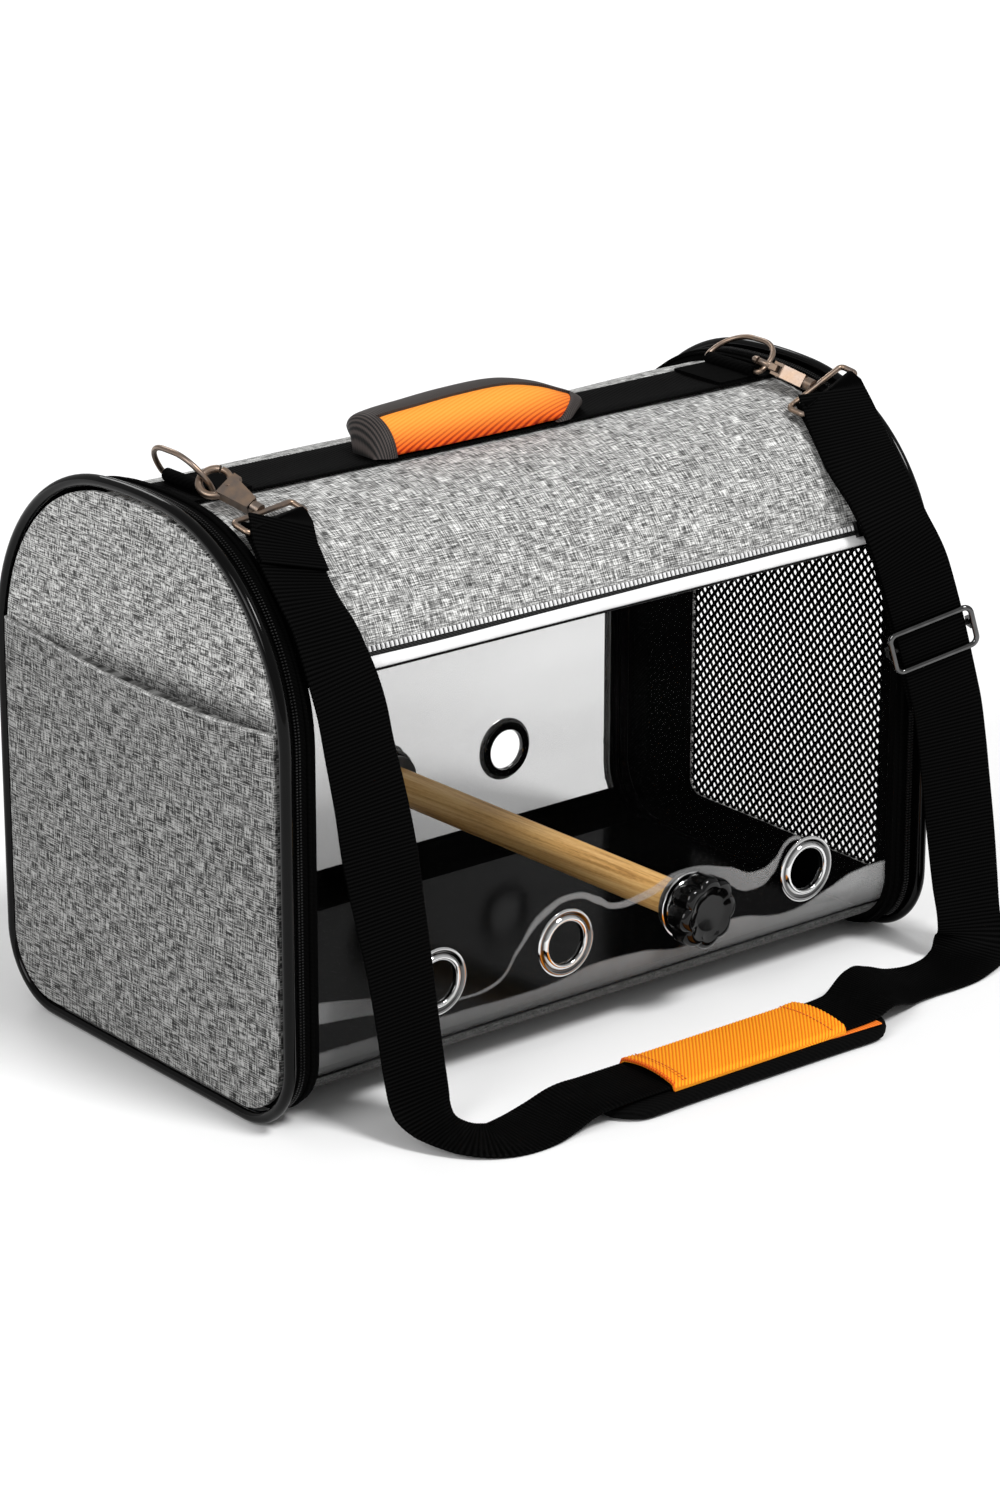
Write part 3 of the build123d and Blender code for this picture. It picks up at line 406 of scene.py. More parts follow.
def heather(name, tone, along=0.008, across=0.007, contrast=1.0, mouth=False):
    """Linen-look polyester: dark and light slubs both ways, under a millimetre across."""
    material, tree, shader = principled(name, Roughness=0.95, Specular_IOR_Level=0.15)
    layers = (  # size of its spots, detail, share
        ((along, SLUB, SLUB), 1.0, 0.45),
        ((SLUB, across, SLUB), 1.0, 0.43),
        ((0.0006,) * 3, 0.0, 0.06),
        ((0.02, 0.014, 0.02), 1.0, 0.06),
    )
    slubs = sums(tree, *[(grain(tree, size, detail=detail), share) for size, detail, share in layers])
    stops = []
    for place, value in HEATHER_STOPS:
        stops.append((0.5 + (place - 0.5) / contrast, [value * tone, value * tone, value * tone * 0.98]))
    colour = ramp(tree, slubs, *stops)
    # with mouth set, the cloth gets painted shade above the pocket's mouth
    if mouth:
        colour = painted_mouth_shade(tree, colour)
    tree.links.new(colour, shader.inputs["Base Color"])
    bumped(tree, shader, slubs, 0.0005, 0.5)
    return material


def painted_mouth_shade(tree, colour):
    """Painted shade on the cloth where it goes down behind the pocket's mouth, most from the middle to the
    front side.
    """
    place = coordinates(tree)
    mouth = (POCKET_TOP_Z - 0.002, POCKET_TOP_Z + 0.016)
    low = mapped(tree, place["Y"], mouth, (1.0, 0.0), smooth=True)
    front = mapped(tree, place["X"], (0.07, -0.03), (0.1, 0.6))
    return mixed(tree, calc(tree, "MULTIPLY", low, front), colour, (*grey(0.02), 1))


def mixed(tree, share, colour, other):
    """One colour going over to another as share goes from 0 to 1."""
    return add(tree, "ShaderNodeMix", {0: share, 6: colour, 7: other}, data_type="RGBA").outputs[2]


def black_cloth(name, shade, rib=0.0012, gloss=0.02):
    """Plain cloth with a fine slanting rib."""
    material, tree, shader = principled(name, Roughness=0.85, Specular_IOR_Level=gloss)
    ribs = waves(tree, rib, "Object", "DIAGONAL")
    height = sums(tree, (ribs, 0.5), (grain(tree, (0.0012,) * 3, "Object"), 0.5))
    # partly painted shade, darker in the ribs' valleys, and partly random tone from the grain
    coloured(tree, shader, height, (0.2, grey(shade * 0.5)), (0.8, grey(shade * 1.6)))
    bumped(tree, shader, height, 0.0002, 0.4)
    return material


def webbing_cloth(name, valley, ridge, pitch=RIB_PITCH, gloss=0.12):
    """Woven tape with ribs across it; its UV runs across and along in metres."""
    material, tree, shader = principled(name, Roughness=0.55, Specular_IOR_Level=gloss)
    threads = waves(tree, 0.0011, axis="X", distortion=0.6)
    fuzz = grain(tree, (0.0015, 0.0008, 0.001))
    height = sums(tree, (waves(tree, pitch), 0.6), (threads, 0.2), (fuzz, 0.2))
    # painted shade and highlight: darker in the ribs' valleys, lighter on their ridges
    coloured(tree, shader, height, (0.25, valley), (0.8, ridge))
    bumped(tree, shader, height, 0.0002, 0.5)
    return material


def glossy(name, colour, roughness, gloss, spot, detail, dark):
    """A smooth surface whose colour and gloss change slowly."""
    material, tree, shader = principled(name, Specular_IOR_Level=gloss)
    cloud = grain(tree, (spot,) * 3, "Object", detail)
    coloured(tree, shader, cloud, (0.3, [channel * dark for channel in colour]), (0.7, colour))
    rough_from(tree, shader, cloud, roughness * 0.7, roughness * 1.4)
    return material


def vinyl(name, colour, roughness, gloss=0.5):
    return glossy(name, colour, roughness, gloss, 0.02, 3.0, 0.85)


def moulded(name, colour, roughness, gloss=0.3):
    return glossy(name, colour, roughness, gloss, 0.03, 2.0, 0.7)


def metal(name, colour, roughness, tint=None):
    """Plated metal with a faint mottle and fine scuffs."""
    material, tree, shader = principled(name, Metallic=1.0)
    cloud = grain(tree, (0.006,) * 3, "Object", 3.0)
    scuffs = grain(tree, (0.0006, 0.0012, 0.0006), "Object")
    other = tint or [channel * 0.82 for channel in colour]
    coloured(tree, shader, cloud, (0.35, other), (0.65, colour))
    rough_from(tree, shader, sums(tree, (cloud, 0.5), (scuffs, 0.5)), roughness * 0.6, roughness * 1.5)
    return material


# The eyelets' dark tones are painted reflections in the groove and at the section's edges.
EYELET_REFLECTION_TONES = [  # share of the section, grey
    (0.29, 0.10), (0.34, 0.88), (0.43, 0.80), (0.50, 0.14),
    (0.61, 0.08), (0.70, 0.88), (0.78, 0.82), (0.86, 0.10),
]


def eyelet_metal(name):
    """Polished rims with painted dark reflections in the groove between them and at the edges; its UV runs
    round the ring and across its section.
    """
    material, tree, shader = principled(name, Metallic=1.0)
    coloured(tree, shader, coordinates(tree)["Y"], *[(at, grey(value)) for at, value in EYELET_REFLECTION_TONES])
    rough_from(tree, shader, grain(tree, (0.006,) * 3, "Object", 3.0), 0.05, 0.12)
    return material


# Painted reflections on the front film, pale where it bends in waves: the upper and lower edge of the crest,
# and the top of the band at its foot.
CREST_TOP = [
    (-190, 65), (-156, 59), (-125, 51), (-94, 44), (-80, 45), (-61, 60), (-41, 78), (-28, 81), (-9, 75),
    (2, 69), (20, 70), (46, 76), (76, 70), (97, 63), (107, 66), (122, 76), (134, 60), (190, 60),
]
CREST_LOW = [
    (-190, 54), (-156, 50), (-125, 46), (-94, 43), (-80, 43.5), (-61, 58), (-41, 74), (-28, 78), (-9, 71),
    (2, 66), (20, 66), (46, 71), (66, 68), (76, 61), (95, 54), (107, 59), (122, 74), (134, 61), (190, 61),
]
BAND_TOP = [
    (-190, 38), (-107, 37), (-41, 36), (-10, 40), (18, 39), (48, 34), (77, 41), (118, 35), (146, 41),
    (167, 46), (190, 47),
]


def painted_reflections(tree, along, height):
    """How pale the painted reflections make the front film where it bends: on its crest, and in the band at
    its foot.
    """
    low, top = contour(tree, along, CREST_LOW), contour(tree, along, CREST_TOP)
    crest = between(tree, height, low, top, 0.0005)
    band = soft_step(tree, contour(tree, along, BAND_TOP), height, 0.0008)
    fade = calc(tree, "MULTIPLY_ADD", mapped(tree, height, (WINDOW_BOTTOM_Z, 0.040)), 0.65, 0.35)
    wide = mapped(tree, along, (-0.02, 0.12), (0.22, 0.42))
    return crest, calc(tree, "MULTIPLY", calc(tree, "MULTIPLY", band, fade), wide)


def clear_film(name, haze, waved):
    """Clear vinyl film: what is behind it shows, under gloss and a faint haze; the front film has pale
    painted reflections where it bends, the back film painted shade towards its lower left.
    """
    material, tree, shader = principled(name, Roughness=0.12, IOR=1.45)
    place = coordinates(tree)
    along, height = place["X"], calc(tree, "ADD", place["Y"], SHOULDER_Z)
    cloud = grain(tree, (0.16, 0.05, 0.05), detail=1.0)
    if waved:
        crest, band = painted_reflections(tree, along, height)
        # the alpha carries the painted reflections, over a faint haze
        alpha = sums(tree, (cloud, haze), (crest, 0.26), (band, 1.0))
    else:
        # painted shade: the back film turns greyer towards its lower left, over a faint haze
        low_left_shade = sums(tree, (along, -1.1), (height, -0.9), (cloud, 0.1))
        haze_and_shade = sums(tree, (low_left_shade, 0.5), (cloud, 0.1))
        alpha = calc(tree, "ADD", haze_and_shade, haze + 0.03, use_clamp=True)
    tree.links.new(alpha, shader.inputs["Alpha"])
    coloured(tree, shader, cloud, (0.3, grey(0.42)), (0.7, grey(0.52)))
    return material


def wood(name):
    """Turned softwood, its grain along the perch."""
    material, tree, shader = principled(name, Roughness=0.5, Specular_IOR_Level=0.3)
    lines = grain(tree, (0.0012, 0.09, 0.0012), "Object", 4.0, PERCH_TURN)
    bands = grain(tree, (0.006, 0.15, 0.006), "Object", 3.0, PERCH_TURN)
    pores = grain(tree, (0.0004, 0.004, 0.0004), "Object", 1.0)
    figure = sums(tree, (lines, 0.5), (bands, 0.35), (pores, 0.15))
    stops = [(0.36, (0.40, 0.19, 0.05)), (0.48, (0.74, 0.41, 0.13)), (0.62, (0.92, 0.60, 0.24))]
    coloured(tree, shader, figure, *stops)
    bumped(tree, shader, figure, 0.0002, 0.5)
    return material


def twill(tree, pitch, turn=0.0):
    """The height of ribs this far apart, with a little fuzz."""
    ribs = waves(tree, pitch, axis="X", turn=turn)
    return sums(tree, (ribs, 0.8), (grain(tree, (0.0008,) * 3), 0.2))


def orange_twill(name, pitch, low, high):
    material, tree, shader = principled(name, Roughness=0.75, Specular_IOR_Level=0.2)
    height = twill(tree, pitch)
    # painted shade and highlight: darker and redder in the ribs' valleys, lighter on their ridges
    coloured(tree, shader, height, (0.15, low), (0.6, high))
    bumped(tree, shader, height, 0.0003, 0.6)
    return material


def orange_padding(name):
    """The handle's twill, with painted shade in its colour: smooth and light on top, ribbed, darker and
    redder towards its foot.
    """
    material, tree, shader = principled(name, Roughness=0.75, Specular_IOR_Level=0.2)
    height = twill(tree, 0.0021, radians(70))
    limits = (HANDLE_Z + 0.001, HANDLE_Z + 0.0165)
    # rise blends from the painted-shade colours at the foot to the light colours on top
    rise = mapped(tree, coordinates(tree, "Object")["Z"], limits, smooth=True)
    foot = ramp(tree, height, (0.2, (0.38, 0.018, 0.002)), (0.7, (0.98, 0.13, 0.008)))
    top = ramp(tree, height, (0.2, (0.97, 0.30, 0.032)), (0.7, (1.0, 0.36, 0.05)))
    tree.links.new(mixed(tree, rise, foot, top), shader.inputs["Base Color"])
    bumped(tree, shader, height, 0.0003, 0.5)
    return material


# The ends' cloth is the roof's cloth at a lower tone: painted shade, for the ends face away from the light.
SHADED_END_WEAVE = {"tone": 0.78, "along": 0.009, "across": 0.004, "contrast": 1.3}
ROOF_CLOTH = heather("grey_heather", 0.93, contrast=0.85)
DOOR_CLOTH = heather("grey_heather_end", **SHADED_END_WEAVE)
# this end's cloth carries painted shade above the pocket's mouth
POCKETED_CLOTH = heather("grey_heather_pocketed_end", **SHADED_END_WEAVE, mouth=True)
# The pocket's low tone is partly its own darker cloth and partly painted shade.
POCKET_CLOTH = heather("grey_heather_pocket", 0.46, contrast=1.45)
# The hem's pale tone is a painted highlight along the pocket's rolled edge.
HIGHLIT_HEM_CLOTH = heather("grey_heather_hem", 1.0, contrast=0.6)
# The bottom's dark tone is painted shade, for it lies in shade under the body.
SHADED_BOTTOM_CLOTH = heather("grey_heather_bottom", 0.2)
GUSSET_CLOTH = black_cloth("black_gusset_cloth", 0.0012)
LINING_CLOTH = black_cloth("black_lining_cloth", 0.0008)
PAD_CLOTH = black_cloth("black_pad_knit", 0.0022, rib=0.0016, gloss=0.03)
MESH_CLOTH = black_cloth("black_mesh", 0.0015)
WEBBING = webbing_cloth("black_webbing", grey(0.0002), grey(0.0036), gloss=0.012)
TAB_WEBBING = black_cloth("black_tab_webbing", 0.0015, rib=0.0019)
GROSGRAIN = webbing_cloth("charcoal_grosgrain", grey(0.012), (0.075, 0.062, 0.058), 0.0013)
ORANGE_HANDLE = orange_padding("orange_twill")
ORANGE_SLEEVE = orange_twill("orange_ribbed", SLEEVE_RIB, (0.80, 0.16, 0.003), (1.0, 0.40, 0.012))
# The sleeve hems' darker, redder tone is painted shade under the folded ends.
ORANGE_HEM = orange_twill("orange_sleeve_hem", 0.0016, (0.60, 0.06, 0.004), (0.85, 0.13, 0.008))
ORANGE_BASE = orange_twill("orange_base_cloth", 0.0016, (0.72, 0.12, 0.01), (0.9, 0.22, 0.02))
ORANGE_THREAD = vinyl("orange_thread", (0.62, 0.11, 0.01), 0.6)
PIPING_VINYL = vinyl("black_vinyl_piping", grey(0.0012), 0.09, gloss=0.14)
# The welts' white is a painted highlight standing for the gleam along the films' curved top edges.
HIGHLIGHT_WHITE_VINYL = vinyl("white_vinyl_welt", grey(0.93), 0.25)
FRONT_FILM = clear_film("clear_film_front", 0.002, True)
BACK_FILM = clear_film("clear_film_back", 0.25, False)
BOARD = moulded("black_board", grey(0.0008), 0.15, gloss=0.06)
KNOB_PLASTIC = moulded("black_knob_plastic", grey(0.002), 0.08, gloss=0.3)
ZIP_TEETH = moulded("black_zip_teeth", grey(0.006), 0.3)
WINDOW_TEETH = moulded("pale_zip_teeth", grey(0.9), 0.4)
ZIP_TAPE = black_cloth("charcoal_zip_tape", 0.02)
ZIP_METAL = metal("black_zip_metal", grey(0.04), 0.3)
CHROME = eyelet_metal("chrome_eyelet")
NICKEL = metal("dark_nickel", (0.33, 0.235, 0.17), 0.36, (0.25, 0.20, 0.17))
BRIGHT_STEEL = metal("bright_steel", grey(0.12), 0.1)
DARK_STEEL = metal("dark_steel", grey(0.03), 0.3)
SPRING_WIRE = metal("spring_wire", grey(0.45), 0.3)
DOWEL_WOOD = wood("perch_wood")
BLACK_THREAD = black_cloth("black_thread", 0.01)
GREY_THREAD = black_cloth("grey_thread", 0.30)


# ---- mesh building ----
def build(name, shape, material, body, uvs=None, sharp=40):
    verts, faces = shape
    mesh = bpy.data.meshes.new(name)
    mesh.from_pydata([tuple(v) for v in verts], [], faces)
    if uvs:
        layer = mesh.uv_layers.new(name="UVMap")
        for loop in mesh.loops:
            layer.data[loop.index].uv = uvs[loop.vertex_index]
    outward(mesh)
    obj = bpy.data.objects.new(name, mesh)
    scene.collection.objects.link(obj)
    finish_mesh(obj, material, sharp)
    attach(obj, body)
    return obj


def outward(mesh):
    work = bmesh.new()
    work.from_mesh(mesh)
    bmesh.ops.recalc_face_normals(work, faces=work.faces)
    work.to_mesh(mesh)
    work.free()


def finish_mesh(obj, material, sharp=40):
    obj.data.shade_smooth()
    obj.data.set_sharp_from_angle(angle=radians(sharp))
    obj.data.materials.clear()
    obj.data.materials.append(material)


def shell(outer, inner, keep=None, wrap=False):
    """A closed skin between two grids of points of one shape."""
    rows, columns = len(outer), len(outer[0])
    verts = [p for row in outer for p in row] + [p for row in inner for p in row]
    half = rows * columns
    quads = []
    for i in range(rows - 1):
        for j in range(columns if wrap else columns - 1):
            k = (j + 1) % columns
            if keep is None or keep(i, j):
                quads.append((i * columns + j, i * columns + k, (i + 1) * columns + k, (i + 1) * columns + j))
    edges = {(quad[n], quad[(n + 1) % 4]): None for quad in quads for n in range(4)}
    rim = [(b, a, half + a, half + b) for a, b in edges if (b, a) not in edges]
    return verts, quads + [tuple(half + k for k in reversed(quad)) for quad in quads] + rim


def sweep(rings, closed=False):
    """A skin through rings of points, with flat ends unless it is closed."""
    rows, columns = len(rings), len(rings[0])
    faces = []
    for i in range(rows if closed else rows - 1):
        k = (i + 1) % rows
        for j in range(columns):
            n = (j + 1) % columns
            faces.append((i * columns + j, i * columns + n, k * columns + n, k * columns + j))
    if not closed:
        faces.append(tuple(range(columns)))
        faces.append(tuple((rows - 1) * columns + j for j in reversed(range(columns))))
    return [p for ring in rings for p in ring], faces


def join(shapes):
    verts, faces = [], []
    for more_verts, more_faces in shapes:
        start = len(verts)
        verts += more_verts
        faces += [tuple(start + k for k in face) for face in more_faces]
    return verts, faces


def spread(low, high, count):
    return [low + (high - low) * k / (count - 1) for k in range(count)]


def steps(length, step):
    return max(2, ceil(length / step) + 1)


def clamped(*values):
    """The least of these, but not below 0 or above 1."""
    return max(0, min(1, *values))


def turns(count):
    """Angles once round a circle."""
    return [2 * pi * k / count for k in range(count)]


def circle(centre, side, up, r, count):
    """Points round a centre, from side towards up."""
    return [centre + (side * cos(a) + up * sin(a)) * r for a in turns(count)]


def roll(places, up, r, count=10, closed=False):
    """A tube through places, each a centre and the way out from it."""
    return sweep([circle(centre, out, up, r, count) for centre, out in places], closed)


# ---- the body's outline ----
def arc_point(y, z, r, angle):
    """Y, Z and the outward direction on an arc."""
    return (y + r * cos(angle), z + r * sin(angle), cos(angle), sin(angle))


def side_point(grow, travel):
    """Y, Z and the outward direction on the +Y side, this far along the wall from the shoulder's start."""
    if travel > 0:
        r, crown_r = SHOULDER_R + grow, CROWN_R + grow
        if travel / r <= SHOULDER_END:
            return arc_point(SHOULDER_Y, SHOULDER_Z, r, travel / r)
        return arc_point(0, CROWN_Z, crown_r, SHOULDER_END + (travel - r * SHOULDER_END) / crown_r)
    if travel > CORNER_Z - SHOULDER_Z:
        return (HALF_W + grow, SHOULDER_Z + travel, 1, 0)
    r = BOTTOM_R + grow
    return arc_point(HALF_W - BOTTOM_R, CORNER_Z, r, (travel + SHOULDER_Z - CORNER_Z) / r)


def on_side(side, grow, travel):
    """Like side_point, on the +Y side (1) or the -Y side (-1)."""
    y, z, out_y, out_z = side_point(grow, travel)
    return (side * y, z, side * out_y, out_z)


def travel_to(grow, z):
    if z > SHOULDER_Z:
        return (SHOULDER_R + grow) * asin((z - SHOULDER_Z) / (SHOULDER_R + grow))
    if z > CORNER_Z:
        return z - SHOULDER_Z
    return CORNER_Z - SHOULDER_Z + (BOTTOM_R + grow) * asin(max(-1, (z - CORNER_Z) / (BOTTOM_R + grow)))


def crown_travel(grow):
    return (SHOULDER_R + grow) * SHOULDER_END + (CROWN_R + grow) * (pi / 2 - SHOULDER_END)


def placed(x, y, z, out_y, out_z):
    """A point of the outline at this X, and its way out."""
    return Vector((x, y, z)), Vector((0, out_y, out_z))


def over(grow, travel):
    """Like side_point, but starting on the -Y side and going on over the crown and down the +Y side."""
    crown = crown_travel(grow)
    if travel <= crown:
        return on_side(-1, grow, travel)
    return side_point(grow, 2 * crown - travel)


def outline_loop(half_w, foot_z, corner_r):
    """A closed arch: its middle line's points (y, z, outward y, outward z), the same number for any size."""
    shoulder_r = half_w - SHOULDER_Y
    crown_r = shoulder_r + CROWN_R - SHOULDER_R
    corner_y, corner_z = half_w - corner_r, foot_z + corner_r

    def arc(y, z, r, start, end, count):
        return [arc_point(y, z, r, start + (end - start) * k / count) for k in range(count)]

    half = [(corner_y * k / 14, foot_z, 0, -1) for k in range(14)]
    half += arc(corner_y, corner_z, corner_r, -pi / 2, 0, 14)
    half += [(half_w, corner_z + (SHOULDER_Z - corner_z) * k / 26, 1, 0) for k in range(26)]
    half += arc(SHOULDER_Y, SHOULDER_Z, shoulder_r, 0, SHOULDER_END, 40)
    half += arc(0, CROWN_Z, crown_r, SHOULDER_END, pi / 2, 6) + [(0, CROWN_Z + crown_r, 0, 1)]
    return half + [(-y, z, -out_y, out_z) for y, z, out_y, out_z in reversed(half[1:-1])]


def outline(grow):
    return outline_loop(HALF_W + grow, BASE_Z - grow, BOTTOM_R + grow)


def ripple(x, y, z, size, depth):
    return noise.noise(Vector((x, y, z)) / size) * depth


# ---- roof, welts, zips and windows ----
def roof_sag(x):
    """The cloth hangs a little between the two hoops."""
    return -ROOF_SAG * (1 - (x / BODY_END_X) ** 2)


def wall_skin(name, xs, travels, place, thickness, lift, material, keep=None):
    """A stretch of wall: place gives a point of its section and the way out, and lift moves it out."""
    outer, inner, uvs = [], [], []
    for x in xs:
        rows = [], []
        for travel in travels:
            y, z, out_y, out_z = place(travel)
            rise = lift(x, z, travel)
            for row, height in zip(rows, (rise, rise - thickness)):
                row.append((x, y + out_y * height, z + out_z * height))
            uvs.append((x, travel))
        outer.append(rows[0])
        inner.append(rows[1])
    return build(name, shell(outer, inner, keep), material, "carrier", uvs + uvs)


def roof():
    edge = travel_to(WALL, ROOF_EDGE_Z)
    far_edge = 2 * crown_travel(WALL) - edge
    travels = spread(edge, far_edge, steps(far_edge - edge, 0.004))

    def place(travel):
        return over(WALL, travel)

    def lift(x, z, travel):
        calm = clamped((travel - edge) / 0.02, (far_edge - travel) / 0.02, (BODY_END_X - abs(x)) / 0.02)
        return roof_sag(x) + calm * ripple(x, travel, 0.3, *ROOF_WAVES)

    xs = spread(-BODY_END_X, BODY_END_X, 94)
    skin = wall_skin("roof_cloth", xs, travels, place, CLOTH_T, lift, ROOF_CLOTH)
    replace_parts(skin, "roof_panel")
    places = []
    for travel in (edge + HEM_IN, far_edge - HEM_IN):
        for x in spread(-BODY_END_X + 0.002, BODY_END_X - 0.002, 122):
            point, out = placed(x, *over(WALL, travel))
            places.append((point + out * roof_sag(x), X_AXIS, out))
    build("roof_hem_stitches", stitches(places, *ROOF_STITCH), GREY_THREAD, "carrier")


def stitches(places, length, r):
    """Small rounded stitches: each place is a point, the way it runs and the way out."""
    shapes = []
    for point, along, out in places:
        rings = []
        for share, swell in ((-0.5, 0.35), (-0.3, 1.0), (0.3, 1.0), (0.5, 0.35)):
            middle = point + along * (share * length)
            rings.append(circle(middle, along.cross(out), out, r * swell, 6))
        shapes.append(sweep(rings))
    return join(shapes)


def side_band(side, low_z, high_z, thickness, bulge, wobble):
    """A band along one wall between two heights, its upper edge a little uneven."""
    low, high = travel_to(WALL, low_z), travel_to(WALL, high_z)
    rings = []
    for x in spread(-BODY_END_X, BODY_END_X, 180):
        top = high + noise.noise(Vector((x * 14, side * 3.0, high_z))) * wobble
        outer, inner = [], []
        for share in spread(0, 1, 7):
            y, z, out_y, out_z = on_side(side, WALL, low + (top - low) * share)
            rise = bulge * sin(pi * share) ** 0.6
            outer.append((x, y + out_y * rise, z + out_z * rise))
            inner.append((x, y - out_y * thickness, z - out_z * thickness))
        rings.append(outer + inner[::-1])
    return sweep(rings)


def window_trim():
    """White welts, whose white is a painted highlight on the films' curved top edges, dark zip tapes and pale
    teeth along both windows' upper edges.
    """
    welt = (WINDOW_TOP_Z, WELT_TOP_Z, 0.0016, 0.0013, 0.0007)
    lip = (WINDOW_TOP_Z - 0.0012, WINDOW_TOP_Z, 0.0012, 0.0006, 0.0)
    tape = (WELT_TOP_Z - 0.0008, ROOF_EDGE_Z, 0.001, 0.0, 0.0)

    def bands(name, sizes, material, slot):
        return build(name, join([side_band(side, *sizes) for side in (-1, 1)]), material, "carrier")

    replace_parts(bands("white_welts", welt, HIGHLIGHT_WHITE_VINYL, "white_vinyl"), "window_welts")
    bands("welt_lips", lip, PIPING_VINYL, "black_vinyl")
    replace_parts(bands("window_zip_tapes", tape, ZIP_TAPE, "zip"), "window_zips")
    teeth = []
    travel = travel_to(WALL, ROOF_EDGE_Z - 0.0012)
    for side in (-1, 1):
        for x in spread(-BODY_END_X + 0.001, BODY_END_X - 0.001, steps(2 * BODY_END_X, WINDOW_TOOTH_PITCH)):
            point, out = placed(x, *on_side(side, WALL, travel))
            teeth.append(tooth(point + out * 0.0005, X_AXIS, out.cross(X_AXIS) * -side, out, WINDOW_TOOTH))
    build("window_zip_teeth", join(teeth), WINDOW_TEETH, "carrier")


def tooth(centre, along, across, out, size):
    """A small tapered block."""
    length, width, height = (value / 2 for value in size)
    verts = []
    for level, share in ((-1, 1.0), (0.4, 1.0), (1, 0.6)):
        middle = centre + out * (level * height)
        for a, b in ((-1, -1), (1, -1), (1, 1), (-1, 1)):
            verts.append(middle + along * (a * length * share) + across * (b * width * share))
    faces = [(0, 3, 2, 1), (8, 9, 10, 11)]
    for base in (0, 4):
        faces += [(base + k, base + (k + 1) % 4, base + 4 + (k + 1) % 4, base + 4 + k) for k in range(4)]
    return verts, faces


def film(name, side, eyelet_xs, eyelet_z, material):
    """The clear window, waved a little, pulled in round its eyelets and open inside them."""
    low, high = travel_to(WALL, WINDOW_BOTTOM_Z), travel_to(WALL, WINDOW_TOP_Z)
    xs = spread(-BODY_END_X, BODY_END_X, 186)
    travels = spread(low, high, steps(high - low, 0.002))

    def place(travel):
        return on_side(side, WALL, travel)

    def from_eyelet(x, z):
        return min(sqrt((x - at) ** 2 + (z - eyelet_z) ** 2) for at in eyelet_xs)

    def lift(x, z, travel):
        near = from_eyelet(x, z)
        calm = clamped((travel - low) / 0.03, (high - travel) / 0.04, (BODY_END_X - abs(x)) / 0.03)
        long_waves = ripple(x * 0.6, travel * 1.6, side * 0.7, *FILM_WAVES)
        puckers = 0.0007 * sin(near / 0.006) * max(0, 1 - near / 0.06)
        return calm * clamped((near - 0.019) / 0.015) * (long_waves + puckers)

    cut = [[from_eyelet(x, place(travel)[1]) < EYELET_CUT_R for travel in travels] for x in xs]

    def whole(i, j):
        return not any(cut[a][b] for a in (i, i + 1) for b in (j, j + 1))

    return wall_skin(name, xs, travels, place, FILM_T, lift, material, whole)


def windows():
    """Both clear windows."""
    for name, material in (("front", FRONT_FILM), ("back", BACK_FILM)):
        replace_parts(film(f"{name}_window_film", *EYELET_ROWS[name], material), f"{name}_window")


def bottom():
    """The grey cloth under the body, darkened by painted shade, its black lining and the thin black seams
    where the film joins it.
    """
    low_corner = CORNER_Z - SHOULDER_Z - (BOTTOM_R + WALL) * pi / 2
    travels = spread(travel_to(WALL, WINDOW_BOTTOM_Z), low_corner, 22)
    flat_y, flat_z, _, _ = side_point(WALL, low_corner)
    path = [on_side(-1, WALL, travel) for travel in travels]
    path += [(y, flat_z, 0, -1) for y in spread(-flat_y, flat_y, 40)[1:-1]]
    path += [side_point(WALL, travel) for travel in reversed(travels)]
    xs = spread(-BODY_END_X, BODY_END_X, 94)
    uvs = [(x, k * 0.0046) for x in xs for k in range(len(path))] * 2

    def sunk(depth):
        return [[(x, y - out_y * depth, z - out_z * depth) for y, z, out_y, out_z in path] for x in xs]

    cloth = build("bottom_cloth", shell(sunk(0), sunk(0.0009)), SHADED_BOTTOM_CLOTH, "carrier", uvs)
    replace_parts(cloth, "bottom_panel")
    build("bottom_lining", shell(sunk(0.0010), sunk(CLOTH_T)), LINING_CLOTH, "carrier", uvs)
    seams = []
    for y, z, out_y, out_z in (path[0], path[-1]):
        centres = [Vector((x, y - out_y * 0.0002, z - out_z * 0.0002)) for x in xs]
        seams.append(roll([(centre, Y_AXIS) for centre in centres], Z_AXIS, SEAM_R, 8))
    build("bottom_seams", join(seams), PIPING_VINYL, "carrier")


# ---- eyelets, perch knobs ----
EYELET_SECTION = [  # radius and height over the film, in millimetres
    (11.6, -2.2), (15.2, -2.2), (15.5, -1.9), (15.5, -1.25), (12.3, -1.2), (12.3, 0.0), (16.9, 0.0),
    (17.5, 0.3), (17.5, 0.75), (17.1, 1.1), (16.3, 1.2), (15.5, 1.0), (14.9, 0.65), (14.3, 0.65), (13.8, 1.1),
    (13.1, 1.75), (12.3, 1.9), (11.5, 1.6), (11.05, 0.9), (11.0, -0.4), (11.1, -1.6),
]
EYELET_SIDES = 64


def eyelets():
    section = [(r / 1000, h / 1000) for r, h in EYELET_SECTION]
    for name, (side, xs, z) in EYELET_ROWS.items():
        rings, uvs = [], []
        for x in xs:
            centre, out = Vector((x, side * (HALF_W + WALL), z)), Vector((0, side, 0))
            turned = []
            for k, way in enumerate(circle(Vector(), out.cross(Z_AXIS), Z_AXIS, 1, EYELET_SIDES)):
                turned.append([centre + way * r + out * h for r, h in section])
                uvs += [(k / EYELET_SIDES, n / len(section)) for n in range(len(section))]
            rings.append(sweep(turned, closed=True))
        piece = build(f"{name}_eyelet_rings", join(rings), CHROME, "carrier", uvs)
        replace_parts(piece, f"{name}_eyelets")


